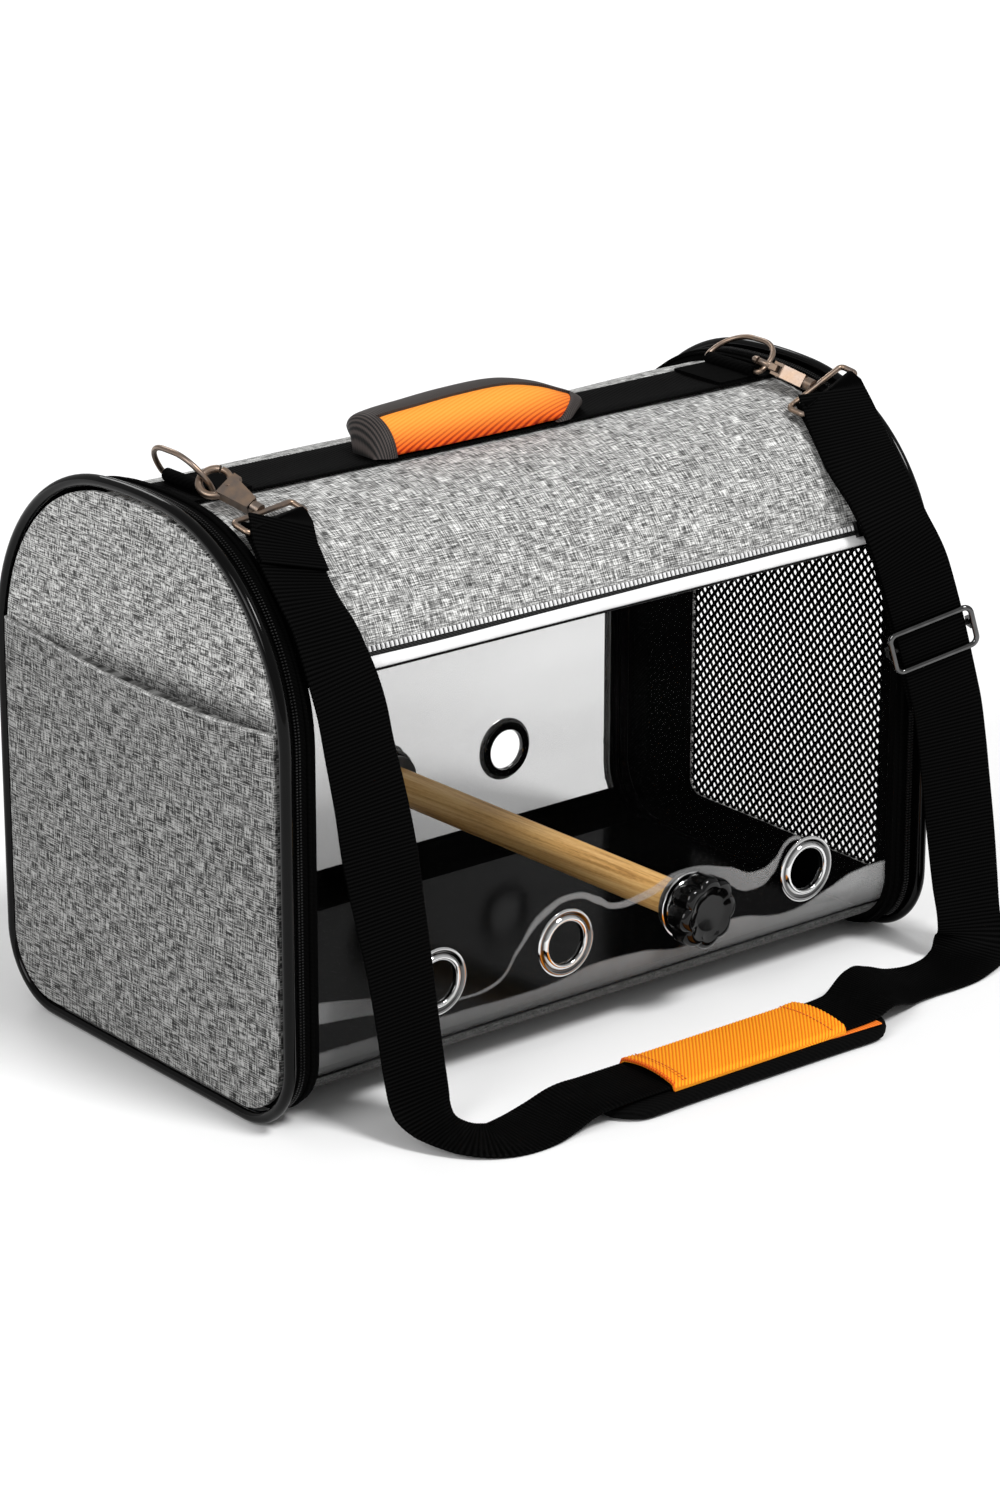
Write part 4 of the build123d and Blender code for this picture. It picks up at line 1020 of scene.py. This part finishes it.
KNOB_LEVELS = [  # share of the radius, share of the height, how much the lobes show
    (0.86, 0.0, 1.0), (0.96, 0.04, 1.0), (1.0, 0.14, 1.0), (1.0, 0.74, 1.0), (0.985, 0.86, 1.0),
    (0.94, 0.95, 0.95), (0.87, 1.0, 0.85), (0.76, 1.0, 0.55), (0.70, 0.95, 0.3), (0.5, 0.93, 0.0),
    (0.2, 0.93, 0.0),
]


def knob(name, point, out, body, node):
    """A lobed knob with rounded edges and a shallow dish in its top."""
    side = out.cross(Z_AXIS).normalized()
    up = side.cross(out)
    rings = []
    for reach, level, lobed in KNOB_LEVELS:
        middle = point + out * (KNOB_BASE + KNOB_H * level)
        ring = []
        for angle in turns(KNOB_SIDES):
            lobe = 2 * abs(cos(KNOB_LOBES * angle / 2)) ** 0.8 - 1
            r = (KNOB_R + KNOB_LOBE * lobe * lobed) * reach
            ring.append(middle + (side * cos(angle) + up * sin(angle)) * r)
        rings.append(ring)
    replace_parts(build(name, sweep(rings), KNOB_PLASTIC, body), node)


def knobs():
    line = (PERCH_BACK - PERCH_FRONT).normalized()
    knob("front_knob_cap", PERCH_FRONT, -line, "front_knob", "front_perch_knob")
    knob("back_knob_cap", PERCH_BACK, line, "back_knob", "back_perch_knob")


# ---- ends ----
def end_grid(x_out, x_in, rise, top_z=None, sag=None):
    """A slab of the left end's shape up to a height: rise moves its outer face out, sag lowers its top."""
    foot = CORNER_Z - SHOULDER_Z - (BOTTOM_R + END_EDGE) * pi / 2
    top = travel_to(END_EDGE, top_z) if top_z else crown_travel(END_EDGE) - 0.0006
    shares = spread(-1, 1, 61)
    outer, inner, uvs = [], [], []
    for travel in spread(foot, top, 64):
        w, z, _, _ = side_point(END_EDGE, travel)
        drops = [sag(share, z) if sag else 0 for share in shares]
        outer.append([(-x_out - rise(s, w * s, z), w * s, z - drop) for s, drop in zip(shares, drops)])
        inner.append([(-x_in, w * s, z - drop) for s, drop in zip(shares, drops)])
        uvs += [(w * s, z) for s in shares]
    return shell(outer, inner), uvs + uvs


def door_rise(share, y, z):
    calm = max(0, 1 - share * share)
    height = clamped((z - BASE_Z) / 0.03, (TOP_Z - z) / 0.03)
    return calm**0.5 * height * (END_SWELL + ripple(y, z, 0.1, *END_WAVES))


def pocket_rise(share, y, z):
    """The pocket bellies out, and its mouth gapes most a little in front of its middle."""
    calm = max(0, 1 - share * share)
    belly = calm**0.5 * clamped((z - BASE_Z) / 0.03) * (POCKET_BELLY + ripple(y, z, 0.4, *POCKET_WAVES))
    mouth = clamped((z - POCKET_TOP_Z + 0.05) / 0.05)
    return belly + POCKET_GAPE * mouth * mouth * calm * (1 - 0.4 * share)


def pocket_sag(share, z):
    near_mouth = clamped((z - POCKET_TOP_Z + 0.06) / 0.06)
    return POCKET_SAG * near_mouth**2 * (1 - share * share) * (1 - 0.35 * share)


def left_door():
    shape, uvs = end_grid(DOOR_OUT_X, DOOR_IN_X, door_rise)
    cloth = build("left_end_cloth", shape, POCKETED_CLOTH, "left_door", uvs)
    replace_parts(cloth, "left_door_panel")
    inner_x = DOOR_OUT_X + 0.0003
    shape, uvs = end_grid(DOOR_OUT_X + POCKET_T, inner_x, pocket_rise, POCKET_TOP_Z, pocket_sag)
    pocket = build("left_end_pocket", shape, POCKET_CLOTH, "left_door", uvs)
    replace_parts(pocket, "left_door_pocket")
    w = side_point(END_EDGE, travel_to(END_EDGE, POCKET_TOP_Z))[0]
    rings, uvs = [], []
    for share in spread(-1, 1, 90):
        x = DOOR_OUT_X + POCKET_T / 2 + pocket_rise(share, share * w, POCKET_TOP_Z)
        centre = Vector((-x, share * w, POCKET_TOP_Z - pocket_sag(share, POCKET_TOP_Z)))
        rings.append(circle(centre, X_AXIS, Z_AXIS * 0.9, HEM_R, 10))
        uvs += [(share * w, HEM_R * angle) for angle in turns(10)]
    # the hem's pale tone is a painted highlight
    build("pocket_hem", sweep(rings), HIGHLIT_HEM_CLOTH, "left_door", uvs)


def right_door():
    """The cloth between the mesh window and the end's edge."""
    window = [(y + MESH_MIDDLE_Y, z) for y, z, _, _ in outline_loop(MESH_HALF_W, MESH_FOOT_Z, MESH_CORNER_R)]
    edge = outline(END_EDGE)
    outer, inner, uvs = [], [], []
    for share in spread(0, 1, 9):
        ring = [(a[0] + (b[0] - a[0]) * share, a[1] + (b[1] - a[1]) * share) for a, b in zip(window, edge)]
        outer.append([(DOOR_OUT_X + END_SWELL * sin(pi * share), y, z) for y, z in ring])
        inner.append([(DOOR_IN_X, y, z) for y, z in ring])
        uvs += ring
    shape = shell(outer, inner, wrap=True)
    cloth = build("right_end_cloth", shape, DOOR_CLOTH, "right_door", uvs + uvs)
    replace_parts(cloth, "right_door_panel")


def inside_arch(y, z, half_w, foot_z):
    """True inside an arch of the body's family."""
    y = abs(y)
    shoulder_r = half_w - SHOULDER_Y
    if y > half_w or z < foot_z:
        return False
    if z < SHOULDER_Z:
        return True
    if y > SHOULDER_Y:
        return (y - SHOULDER_Y) ** 2 + (z - SHOULDER_Z) ** 2 < shoulder_r**2
    return y * y + (z - CROWN_Z) ** 2 < (shoulder_r + CROWN_R - SHOULDER_R) ** 2


def mesh_window():
    """Knitted mesh: staggered holes in a net of hexagons that share their corners."""
    corner_h = (HOLE_PITCH**2 / 4 + HOLE_ROW**2) / (2 * HOLE_ROW)
    side_h = HOLE_ROW - corner_h
    corners = [(0, corner_h), (-HOLE_PITCH / 2, side_h), (-HOLE_PITCH / 2, -side_h), (0, -corner_h)]
    corners += [(HOLE_PITCH / 2, -side_h), (HOLE_PITCH / 2, side_h)]
    verts, faces, shared, edges = [], [], {}, {}

    def vertex(x, y, z):
        key = (round(x, 6), round(y + MESH_MIDDLE_Y, 6), round(z, 6))
        if key not in shared:
            shared[key] = len(verts)
            verts.append(key)
        return shared[key]

    def hole_vertex(x, y, z, toward_y, toward_z):
        angle = atan2(toward_z / HOLE_HALF_H, toward_y / HOLE_HALF_W)
        return vertex(x, y + HOLE_HALF_W * cos(angle), z + HOLE_HALF_H * sin(angle))

    def hexagon(y, z):
        for a, b in zip(corners, corners[1:] + corners[:1]):
            back, front = (
                [vertex(x, y + dy, z + dz) for dy, dz in (a, b)] + [hole_vertex(x, y, z, *c) for c in (b, a)]
                for x in MESH_X
            )
            faces.extend([tuple(front), tuple(reversed(back)), (front[3], front[2], back[2], back[3])])
            if edges.pop((front[1], front[0]), None) is None:
                edges[front[0], front[1]] = (back[0], back[1])

    for row in range(ceil((TOP_Z - MESH_FOOT_Z) / HOLE_ROW)):
        z = MESH_FOOT_Z + row * HOLE_ROW
        for column in range(-20, 21):
            y = column * HOLE_PITCH + HOLE_PITCH / 2 * (row % 2)
            if inside_arch(y, z, MESH_HALF_W + 0.001, MESH_FOOT_Z - 0.001):
                hexagon(y, z)
    faces += [(b, a, c, d) for (a, b), (c, d) in edges.items()]
    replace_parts(build("right_end_mesh", (verts, faces), MESH_CLOTH, "right_door"), "right_door_mesh")


# ---- gussets and zips beside the ends ----
def outline_tube(x, grow, r):
    return roll([placed(x, *point) for point in outline(grow)], X_AXIS, r, closed=True)


def end_teeth(x):
    """A row of teeth round an end's outline."""
    low = travel_to(0, ZIP_FOOT_Z)
    high = 2 * crown_travel(0) - low
    teeth = []
    for travel in spread(low, high, steps(high - low, END_TOOTH_PITCH)):
        point, out = placed(x, *over(0, travel))
        teeth.append(tooth(point + out * 0.0016, out.cross(X_AXIS), X_AXIS, out, END_TOOTH))
    return join(teeth)


def zip_stop(x, side):
    """A short black roll that closes a bottom corner below its zip's foot."""
    travels = spread(*[travel_to(STOP_GROW, z) for z in STOP_Z], 12)
    return roll([placed(x, *on_side(side, STOP_GROW, travel)) for travel in travels], X_AXIS, STOP_R)


def end_zips():
    """Zip teeth round both ends, the thin welts beside them and the stops at their feet."""
    welts = [outline_tube(side * GUSSET_WELT_X, 0.0012, 0.0011) for side in SIDES.values()]
    build("gusset_welts", join(welts), GUSSET_CLOTH, "carrier")
    for name, side in SIDES.items():
        row = end_teeth(side * (ZIP_X - TEETH_APART))
        body_row = build(f"{name}_body_zip_coil_teeth", row, ZIP_TEETH, "carrier")
        if name == "left":
            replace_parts(body_row, "body_zip_coils")
        row = end_teeth(side * (ZIP_X + TEETH_APART))
        door_row = build(f"{name}_door_zip_coil_teeth", row, ZIP_TEETH, f"{name}_door")
        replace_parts(door_row, f"{name}_door_zip_coil")
    stops = [zip_stop(end * ZIP_X, side) for end in SIDES.values() for side in (-1, 1)]
    build("zip_end_stops", join(stops), GUSSET_CLOTH, "carrier")


# ---- webbing ----
def hermite(stations, step):
    """Points every step along a smooth line through the stations, which may carry more than three numbers."""
    knots = [0.0]
    for a, b in zip(stations, stations[1:]):
        knots.append(knots[-1] + max(1e-5, sqrt(sum((p - q) ** 2 for p, q in zip(a[:3], b[:3])))))
    slopes = []
    for i in range(len(stations)):
        a, b = max(i - 1, 0), min(i + 1, len(stations) - 1)
        slopes.append([(q - p) / (knots[b] - knots[a]) for p, q in zip(stations[a], stations[b])])
    points, segment = [], 0
    for t in spread(0, knots[-1], steps(knots[-1], step)):
        while segment < len(knots) - 2 and t > knots[segment + 1]:
            segment += 1
        span = knots[segment + 1] - knots[segment]
        u = (t - knots[segment]) / span
        h0, h1 = 2 * u**3 - 3 * u**2 + 1, u**3 - 2 * u**2 + u
        h2, h3 = 3 * u**2 - 2 * u**3, u**3 - u**2
        rows = zip(stations[segment], slopes[segment], stations[segment + 1], slopes[segment + 1])
        points.append([h0 * a + h1 * m * span + h2 * b + h3 * n * span for a, m, b, n in rows])
    return points


def ribbon(stations, width, thickness, pitch, depth, step, camber=0.0):
    """Ribbed webbing through stations; returns its shape and its UV, across and along."""
    line = hermite(stations, step)
    middles = [Vector(p[:3]) for p in line]
    half_w, half_t = width / 2, thickness / 2
    half = [(0, 1), (0.5, 1), (0.95, 1), (0.985, 0.7), (1, 0)]
    profile = [(-a, b) for a, b in reversed(half)] + half[1:]
    profile += [(a, -b) for a, b in reversed(profile[1:-1])]
    rings, uvs, run = [], [], 0.0
    for i, p in enumerate(line):
        ahead = (middles[min(i + 1, len(middles) - 1)] - middles[max(i - 1, 0)]).normalized()
        across = Vector(p[3:6])
        across = (across - ahead * across.dot(ahead)).normalized()
        out = across.cross(ahead)
        if i:
            run += (middles[i] - middles[i - 1]).length
        rib = -depth * cos(2 * pi * run / pitch)
        ring = []
        for a, b in profile:
            drop = camber * (a * half_w) ** 2
            ring.append(middles[i] + across * (a * half_w) + out * (b * (half_t + rib) - drop))
            uvs.append((a * half_w, run))
        rings.append(ring)
    return sweep(rings), uvs


def turn_at_bar(name, stations, side):
    """Stations of the half-turn round a hook's bar; the strap comes in outside (1) or inside (-1)."""
    bar, across = HOOK_BARS[name]
    ahead = bar - Vector(stations[-1][:3])
    ahead = (ahead - across * ahead.dot(across)).normalized()
    out = across.cross(ahead)
    turn = []
    for angle in spread(0, pi, 9):
        point = bar + (out * (side * cos(angle)) + ahead * sin(angle)) * FOLD_R
        turn.append((*point, *across))
    return turn


def lifted(stations, lifts):
    """Stations moved out of their middle surface."""
    moved = []
    for i, (station, lift) in enumerate(zip(stations, lifts)):
        ahead = Vector(stations[min(i + 1, len(stations) - 1)][:3]) - Vector(stations[max(i - 1, 0)][:3])
        across = Vector(station[3:])
        out = across.cross(ahead).normalized()
        moved.append((*(Vector(station[:3]) + out * lift), *across))
    return moved


def straps():
    flap = lifted(STRAP_LEFT[-FLAP_STATION_COUNT - 1 :], [LAYER_LIFT] * (FLAP_STATION_COUNT + 1))[1:]
    left = STRAP_LEFT + turn_at_bar("left", STRAP_LEFT, -1) + flap[::-1]
    upper = STRAP_RIGHT[-RETURN_STATION_COUNT:]
    lifts = [-RETURN_LIFT, -RETURN_LIFT] + [-LAYER_LIFT] * (len(upper) - 2)
    back = lifted(upper, lifts)
    right = STRAP_RIGHT + turn_at_bar("right", STRAP_RIGHT, 1) + back[::-1]
    for name, stations, nodes in (
        ("left", left, ["shoulder_strap_left", "strap_folds"]),
        ("right", right, ["shoulder_strap_right", "strap_return"]),
    ):
        shape, uvs = ribbon(stations, *STRAP_WEAVE)
        strap = build(f"{name}_strap_webbing", shape, WEBBING, "carrier", uvs, 60)
        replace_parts(strap, *nodes)


def ridge():
    """The webbing over the roof's ridge, bent to the crown, and its two lines of stitches."""
    z, camber = TOP_Z + WALL + WEBBING_T / 2, 0.5 / CROWN_R
    stations = [(x, 0, z + roof_sag(x), 0, 1, 0) for x in spread(-BODY_END_X, BODY_END_X, 24)]
    shape, uvs = ribbon(stations, *STRAP_WEAVE, camber)
    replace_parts(build("ridge_tape", shape, WEBBING, "carrier", uvs, 60), "ridge_webbing")
    places = []
    for y in (-RIDGE_STITCH_Y, RIDGE_STITCH_Y):
        for x in spread(-BODY_END_X + 0.003, BODY_END_X - 0.003, 110):
            top = z + WEBBING_T / 2 + roof_sag(x) - y * y * camber
            places.append((Vector((x, y, top)), X_AXIS, Z_AXIS))
    build("ridge_stitches", stitches(places, *RIDGE_STITCH), BLACK_THREAD, "carrier")


# ---- padded pieces ----
def inflate(obj, voxel, floor_z):
    """Remeshes a soft piece and lets cloth swell it a little; no point moves further than SWELL_CAP."""
    remesh = obj.modifiers.new("remesh", "REMESH")
    remesh.mode = "VOXEL"
    remesh.voxel_size = voxel
    graph = bpy.context.evaluated_depsgraph_get()
    plain = bpy.data.meshes.new_from_object(obj.evaluated_get(graph))
    obj.modifiers.remove(remesh)
    obj.data = plain
    cloth = obj.modifiers.new("cloth", "CLOTH")
    cloth.settings.use_pressure = True
    cloth.settings.uniform_pressure_force = PRESSURE
    cloth.settings.effector_weights.gravity = 0
    cloth.point_cache.frame_end = SWELL_FRAMES
    start = [v.co.copy() for v in plain.vertices]
    for number in range(1, SWELL_FRAMES + 1):
        scene.frame_set(number)
    graph = bpy.context.evaluated_depsgraph_get()
    end = [v.co.copy() for v in obj.evaluated_get(graph).data.vertices]
    obj.modifiers.remove(cloth)
    for vertex, before, after in zip(plain.vertices, start, end):
        move = after - before
        if move.length > SWELL_CAP:
            move.length = SWELL_CAP
        vertex.co = before + move
    scene.frame_set(1)
    for vertex in plain.vertices:
        vertex.co.z = max(vertex.co.z, floor_z)


def smooth_more(obj):
    finer = obj.modifiers.new("finer", "SUBSURF")
    finer.levels = finer.render_levels = 1


def rounded_rectangle(x_limits, y, width, r, inset):
    """A closed ring of (x, y) points, its edge moved in by inset."""
    x_low, x_high = x_limits[0] + r, x_limits[1] - r
    y_low, y_high = y - width / 2 + r, y + width / 2 - r
    ring = []
    for k, (cx, cy) in enumerate(((x_high, y_high), (x_low, y_high), (x_low, y_low), (x_high, y_low))):
        for angle in spread(pi / 2 * k, pi / 2 * (k + 1), 12):
            ring.append((cx + (r - inset) * cos(angle), cy + (r - inset) * sin(angle)))
    return ring


def shoulder_pad():
    rings = []
    for inset, z in PAD_LEVELS:
        ring = rounded_rectangle(PAD_X, PAD_Y, PAD_W - 0.001, PAD_END_R, inset)
        rings.append([(x, y, z) for x, y in ring])
    pad = build("shoulder_pad_foam", sweep(rings), PAD_CLOTH, "carrier")
    inflate(pad, PAD_VOXEL, 0.0)
    finish_mesh(pad, PAD_CLOTH, 180)
    smooth_more(pad)
    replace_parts(pad, "shoulder_pad")


def base_strip():
    """The orange strip along the pad, turned a little from its middle line."""
    middle = sum(BASE_X) / 2
    stations = []
    for x in spread(*BASE_X, 30):
        stations.append((x, PAD_Y - (x - middle) * BASE_TURN, PAD_T + BASE_T / 2, 0, 1, 0))
    shape, uvs = ribbon(stations, *BASE_WEAVE)
    uvs = [(along, across) for across, along in uvs]
    strip = build("pad_base_strip", shape, ORANGE_BASE, "carrier", uvs, 60)
    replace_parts(strip, "shoulder_pad_base")


def from_sleeve_end(x):
    return min(x - SLEEVE_X[0], SLEEVE_X[1] - x)


def sleeve_crown(x):
    """How far the sleeve's middle stands over its sides, most at its two ends."""
    middle, more = SLEEVE_CROWN
    return middle + more * max(0, 1 - from_sleeve_end(x) / 0.02) ** 2


def sleeve_top(share, crown):
    """The sleeve's height over the floor across its width, its corners rounded."""
    drop = max(0, (abs(share) * SLEEVE_HALF_W - SLEEVE_HALF_W + SLEEVE_CORNER) / SLEEVE_CORNER)
    return SLEEVE_TOP + crown * (1 - share * share) - SLEEVE_CORNER * (1 - sqrt(max(0, 1 - drop * drop)))


def sleeve():
    """The ribbed sleeve that holds the strap on the pad."""
    foot = PAD_T + BASE_T
    rings, uvs = [], []
    for x in spread(*SLEEVE_X, steps(SLEEVE_X[1] - SLEEVE_X[0], SLEEVE_RIB / 6)):
        hem = SLEEVE_HEM[1] if from_sleeve_end(x) < SLEEVE_HEM[0] else 0.0
        outer, inner, place = [], [], []
        for share in spread(-1, 1, 107):
            y, top = share * SLEEVE_HALF_W, sleeve_top(share, sleeve_crown(x))
            along = x * cos(SLEEVE_TURN) - y * sin(SLEEVE_TURN)
            rib = -SLEEVE_RELIEF * cos(2 * pi * along / SLEEVE_RIB)
            outer.append((x, PAD_Y + y, top + rib + hem))
            inner.append((x, PAD_Y + y * 0.96, top - SLEEVE_T))
            place.append((along, y))
        inner, inner_place = inner[::4] + inner[-1:], place[::4] + place[-1:]
        low_out = [(x, PAD_Y + side * (SLEEVE_HALF_W + 0.0002), foot) for side in (-1, 1)]
        low_in = [(x, PAD_Y + side * (SLEEVE_HALF_W - SLEEVE_T), foot) for side in (-1, 1)]
        rings.append([low_out[0], *outer, low_out[1], low_in[1], *inner[::-1], low_in[0]])
        uvs += [(x, -0.022), *place, (x, 0.022), (x, 0.022), *inner_place[::-1], (x, -0.022)]
    piece = build("pad_sleeve", sweep(rings), ORANGE_SLEEVE, "carrier", uvs, 50)
    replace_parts(piece, "shoulder_pad_sleeve")


def sleeve_hems():
    """Rolled hems at both ends of the sleeve, and the stitches beside them."""
    rolls, uvs, places = [], [], []
    for x, r in HEM_ROLLS:
        rings = []
        for share in spread(-1, 1, 41):
            middle = Vector((x, PAD_Y + share * SLEEVE_HALF_W, sleeve_top(share, sum(SLEEVE_CROWN)) - 0.0003))
            rings.append(circle(middle, X_AXIS, Z_AXIS, r, 10))
            uvs += [(share * SLEEVE_HALF_W, r * angle) for angle in turns(10)]
        rolls.append(sweep(rings))
    build("pad_sleeve_hems", join(rolls), ORANGE_HEM, "carrier", uvs)
    for x in SLEEVE_SEAMS_X:
        for share in spread(-0.9, 0.9, 16):
            top = SLEEVE_TOP + sleeve_crown(x) * (1 - share * share) + 0.0002
            places.append((Vector((x, PAD_Y + share * SLEEVE_HALF_W, top)), Y_AXIS, Z_AXIS))
    build("pad_sleeve_stitches", stitches(places, *SLEEVE_STITCH), ORANGE_THREAD, "carrier")


def vault_point(x, half, height, share, grow):
    """A point of the handle's arched section; share runs from -1 at its front foot to 1 at its back foot."""
    r = (half * half + height * height) / (2 * height)
    reach = atan2(half, r - height)
    angle = share * reach
    return (x, (r + grow) * sin(angle), HANDLE_Z + max(0, height - r + (r + grow) * cos(angle)))


HANDLE_LINE = hermite(HANDLE_STATIONS, 0.002)


def handle_section(x):
    """The vault's width and height, which falls away round both ends."""
    a, b = next((a, b) for a, b in zip(HANDLE_LINE, HANDLE_LINE[1:]) if x <= b[0] + 1e-6)
    share = (x - a[0]) / (b[0] - a[0])
    ends = HANDLE_STATIONS[0][0], HANDLE_STATIONS[-1][0]
    from_end = clamped((x - ends[0]) / HANDLE_ROUND, (ends[1] - x) / HANDLE_ROUND)
    fall = max(0.08, sqrt(1 - (1 - from_end) ** 2))
    width, height = (low + (high - low) * share for low, high in zip(a[1:], b[1:]))
    return width * (0.86 + 0.14 * fall), height * fall


def handle_end(share, side):
    """Where the vault stops: straight at its left end, and round towards the back at its right."""
    if side < 0:
        return HANDLE_STATIONS[0][0] + LEFT_END_SLANT * max(0, share) ** 1.5
    front, back = RIGHT_END_BENDS
    return HANDLE_STATIONS[-1][0] - (front * share * share if share < 0 else back * share)


def vault_patch(ends, shares, grow, thickness, count, pillow=None):
    """A closed patch of the vault; ends gives its two X limits at each share of the arc."""
    outer, inner, uvs = [], [], []
    for part in spread(0, 1, count):
        outer_row, inner_row = [], []
        swell = pillow(part) if pillow else 0
        for share in shares:
            low, high = ends(share)
            x = low + (high - low) * part
            width, height = handle_section(x)
            outer_row.append(vault_point(x, width / 2, height, share, grow + swell))
            inner_row.append(vault_point(x, width / 2, height, share, grow + swell - thickness))
            uvs.append((x, share * (width / 2 + height) * 0.72))
        outer.append(outer_row)
        inner.append(inner_row)
    return shell(outer, inner), uvs + uvs


def handle():
    """The padded grip, the bindings across its ends and the one along its crest."""
    shares = spread(-1, 1, 41)

    def inset(amount):
        return lambda share: (handle_end(share, -1) + amount, handle_end(share, 1) - amount)

    def left_band(share):
        edge = handle_end(share, -1)
        return edge, edge + BINDING_L["left"]

    def right_band(share):
        edge = handle_end(share, 1)
        return edge - BINDING_L["right"], edge

    def pillow(part):
        return -BINDING_ROUND * (2 * part - 1) ** 4

    shape, _ = vault_patch(inset(0.0015), shares, -PADDING_IN, HANDLE_T - PADDING_IN, 71)
    grip = build("handle_padding", shape, ORANGE_HANDLE, "handle")
    inflate(grip, GRIP_VOXEL, HANDLE_Z)
    layer = grip.data.uv_layers.new(name="UVMap")
    for loop in grip.data.loops:
        x, y, z = grip.data.vertices[loop.vertex_index].co
        layer.data[loop.index].uv = (x, y - (z - HANDLE_Z) * (1 if y > 0 else -1) * 0.7)
    finish_mesh(grip, ORANGE_HANDLE, 180)
    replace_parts(grip, "handle_grip")
    bands = [
        vault_patch(left_band, shares, BINDING_T, BINDING_DEPTH, 15, pillow),
        vault_patch(right_band, shares, BINDING_T, BINDING_DEPTH, 13, pillow),
        vault_patch(inset(0.004), spread(*BINDING_CREST, 16), BINDING_T - 0.0001, BINDING_DEPTH, 130),
    ]
    shape = join([band for band, _ in bands])
    uvs = [(y, x) for _, some in bands for x, y in some]
    binding = build("handle_edge_binding", shape, GROSGRAIN, "handle", uvs, 60)
    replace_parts(binding, "handle_bindings")


# ---- CAD pieces that stay, with their finish ----
FINISHES = (
    (BOARD, ["floor_board"]),
    (GUSSET_CLOTH, ["gussets", "hoop_sleeves", "right_door_mesh_binding"]),
    (GUSSET_CLOTH, ["left_door_zip_tape", "right_door_zip_tape"]),
    (LINING_CLOTH, ["right_door_lining"]),
    (PIPING_VINYL, ["left_door_piping", "right_door_piping"]),
    (DOWEL_WOOD, ["perch_dowel"]),
    (SPRING_WIRE, ["perch_studs", "perch_washers"]),
    (TAB_WEBBING, ["d_ring_tabs"]),
    (NICKEL, ["left_d_ring", "right_d_ring", "hook_rivets"]),
    (NICKEL, [f"{side}_hook_{part}" for side in SIDES for part in ("body", "gate", "swivel")]),
    (BRIGHT_STEEL, ["adjuster_frame"]),
    (DARK_STEEL, ["adjuster_bar", "hoop_wires"]),
    (ZIP_METAL, [f"{side}_door_{part}" for side in SIDES for part in ("slider", "pull")]),
    (ZIP_METAL, [f"{side}_window_{part}" for side in EYELET_ROWS for part in ("slider", "pull")]),
)


def finish_cad():
    for material, names in FINISHES:
        for name in names:
            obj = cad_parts[name]
            if obj.material_slots:
                obj.material_slots[0].material = material
            else:
                obj.data.materials.append(material)


# ---- floor, light and camera ----
FLOOR_REACH = 12.0
SUNS = (  # name, where it shines from, strength, its width in degrees
    ("key", (0.25, -0.9, 1.3), 2.1, 16),
    ("left_fill", (-1.2, -0.25, 0.75), 1.1, 30),
    ("rim", (0.4, 1.2, 0.9), 0.5, 20),
)


def studio():
    corners = ((-1, -1), (1, -1), (1, 1), (-1, 1))
    mesh = bpy.data.meshes.new("floor")
    mesh.from_pydata([(x * FLOOR_REACH, y * FLOOR_REACH, 0) for x, y in corners], [], [(0, 1, 2, 3)])
    floor = bpy.data.objects.new("floor", mesh)
    scene.collection.objects.link(floor)
    mesh.materials.append(principled("floor_paper", Base_Color=(0.93, 0.93, 0.93, 1), Roughness=1.0)[0])
    world = bpy.data.worlds.new("studio")
    scene.world = world
    world.use_nodes = True
    world.node_tree.nodes["Background"].inputs["Color"].default_value = (1, 1, 1, 1)
    world.node_tree.nodes["Background"].inputs["Strength"].default_value = 0.45
    for light in SUNS:
        sun(*light)
    scene.view_settings.view_transform = "Standard"


def sun(name, toward, strength, width):
    """A soft distant light that shines from this direction."""
    light = bpy.data.lights.new(name, "SUN")
    light.energy = strength
    light.angle = radians(width)
    lamp = bpy.data.objects.new(name, light)
    lamp.rotation_euler = Vector(toward).to_track_quat("Z", "Y").to_euler()
    scene.collection.objects.link(lamp)


def camera():
    right = Vector((cos(CAMERA_AZIMUTH), sin(CAMERA_AZIMUTH), 0))
    back = Vector((right.y * cos(CAMERA_ELEVATION), -right.x * cos(CAMERA_ELEVATION), sin(CAMERA_ELEVATION)))
    turn = Matrix((right, back.cross(right), back)).transposed().to_4x4()
    data = bpy.data.cameras.new("camera")
    data.sensor_fit = "VERTICAL"
    data.sensor_height = SENSOR_HEIGHT
    data.lens = SENSOR_HEIGHT * FOCAL_PIXELS / IMAGE_HEIGHT
    data.clip_end = 50
    view = bpy.data.objects.new("camera", data)
    view.matrix_world = Matrix.Translation(CAMERA_PLACE) @ turn @ Matrix.Rotation(CAMERA_ROLL, 4, "Z")
    scene.collection.objects.link(view)
    scene.camera = view


camera()
studio()
straps()
ridge()
roof()
window_trim()
bottom()
windows()
eyelets()
knobs()
left_door()
right_door()
mesh_window()
end_zips()
shoulder_pad()
base_strip()
sleeve()
sleeve_hems()
handle()
finish_cad()
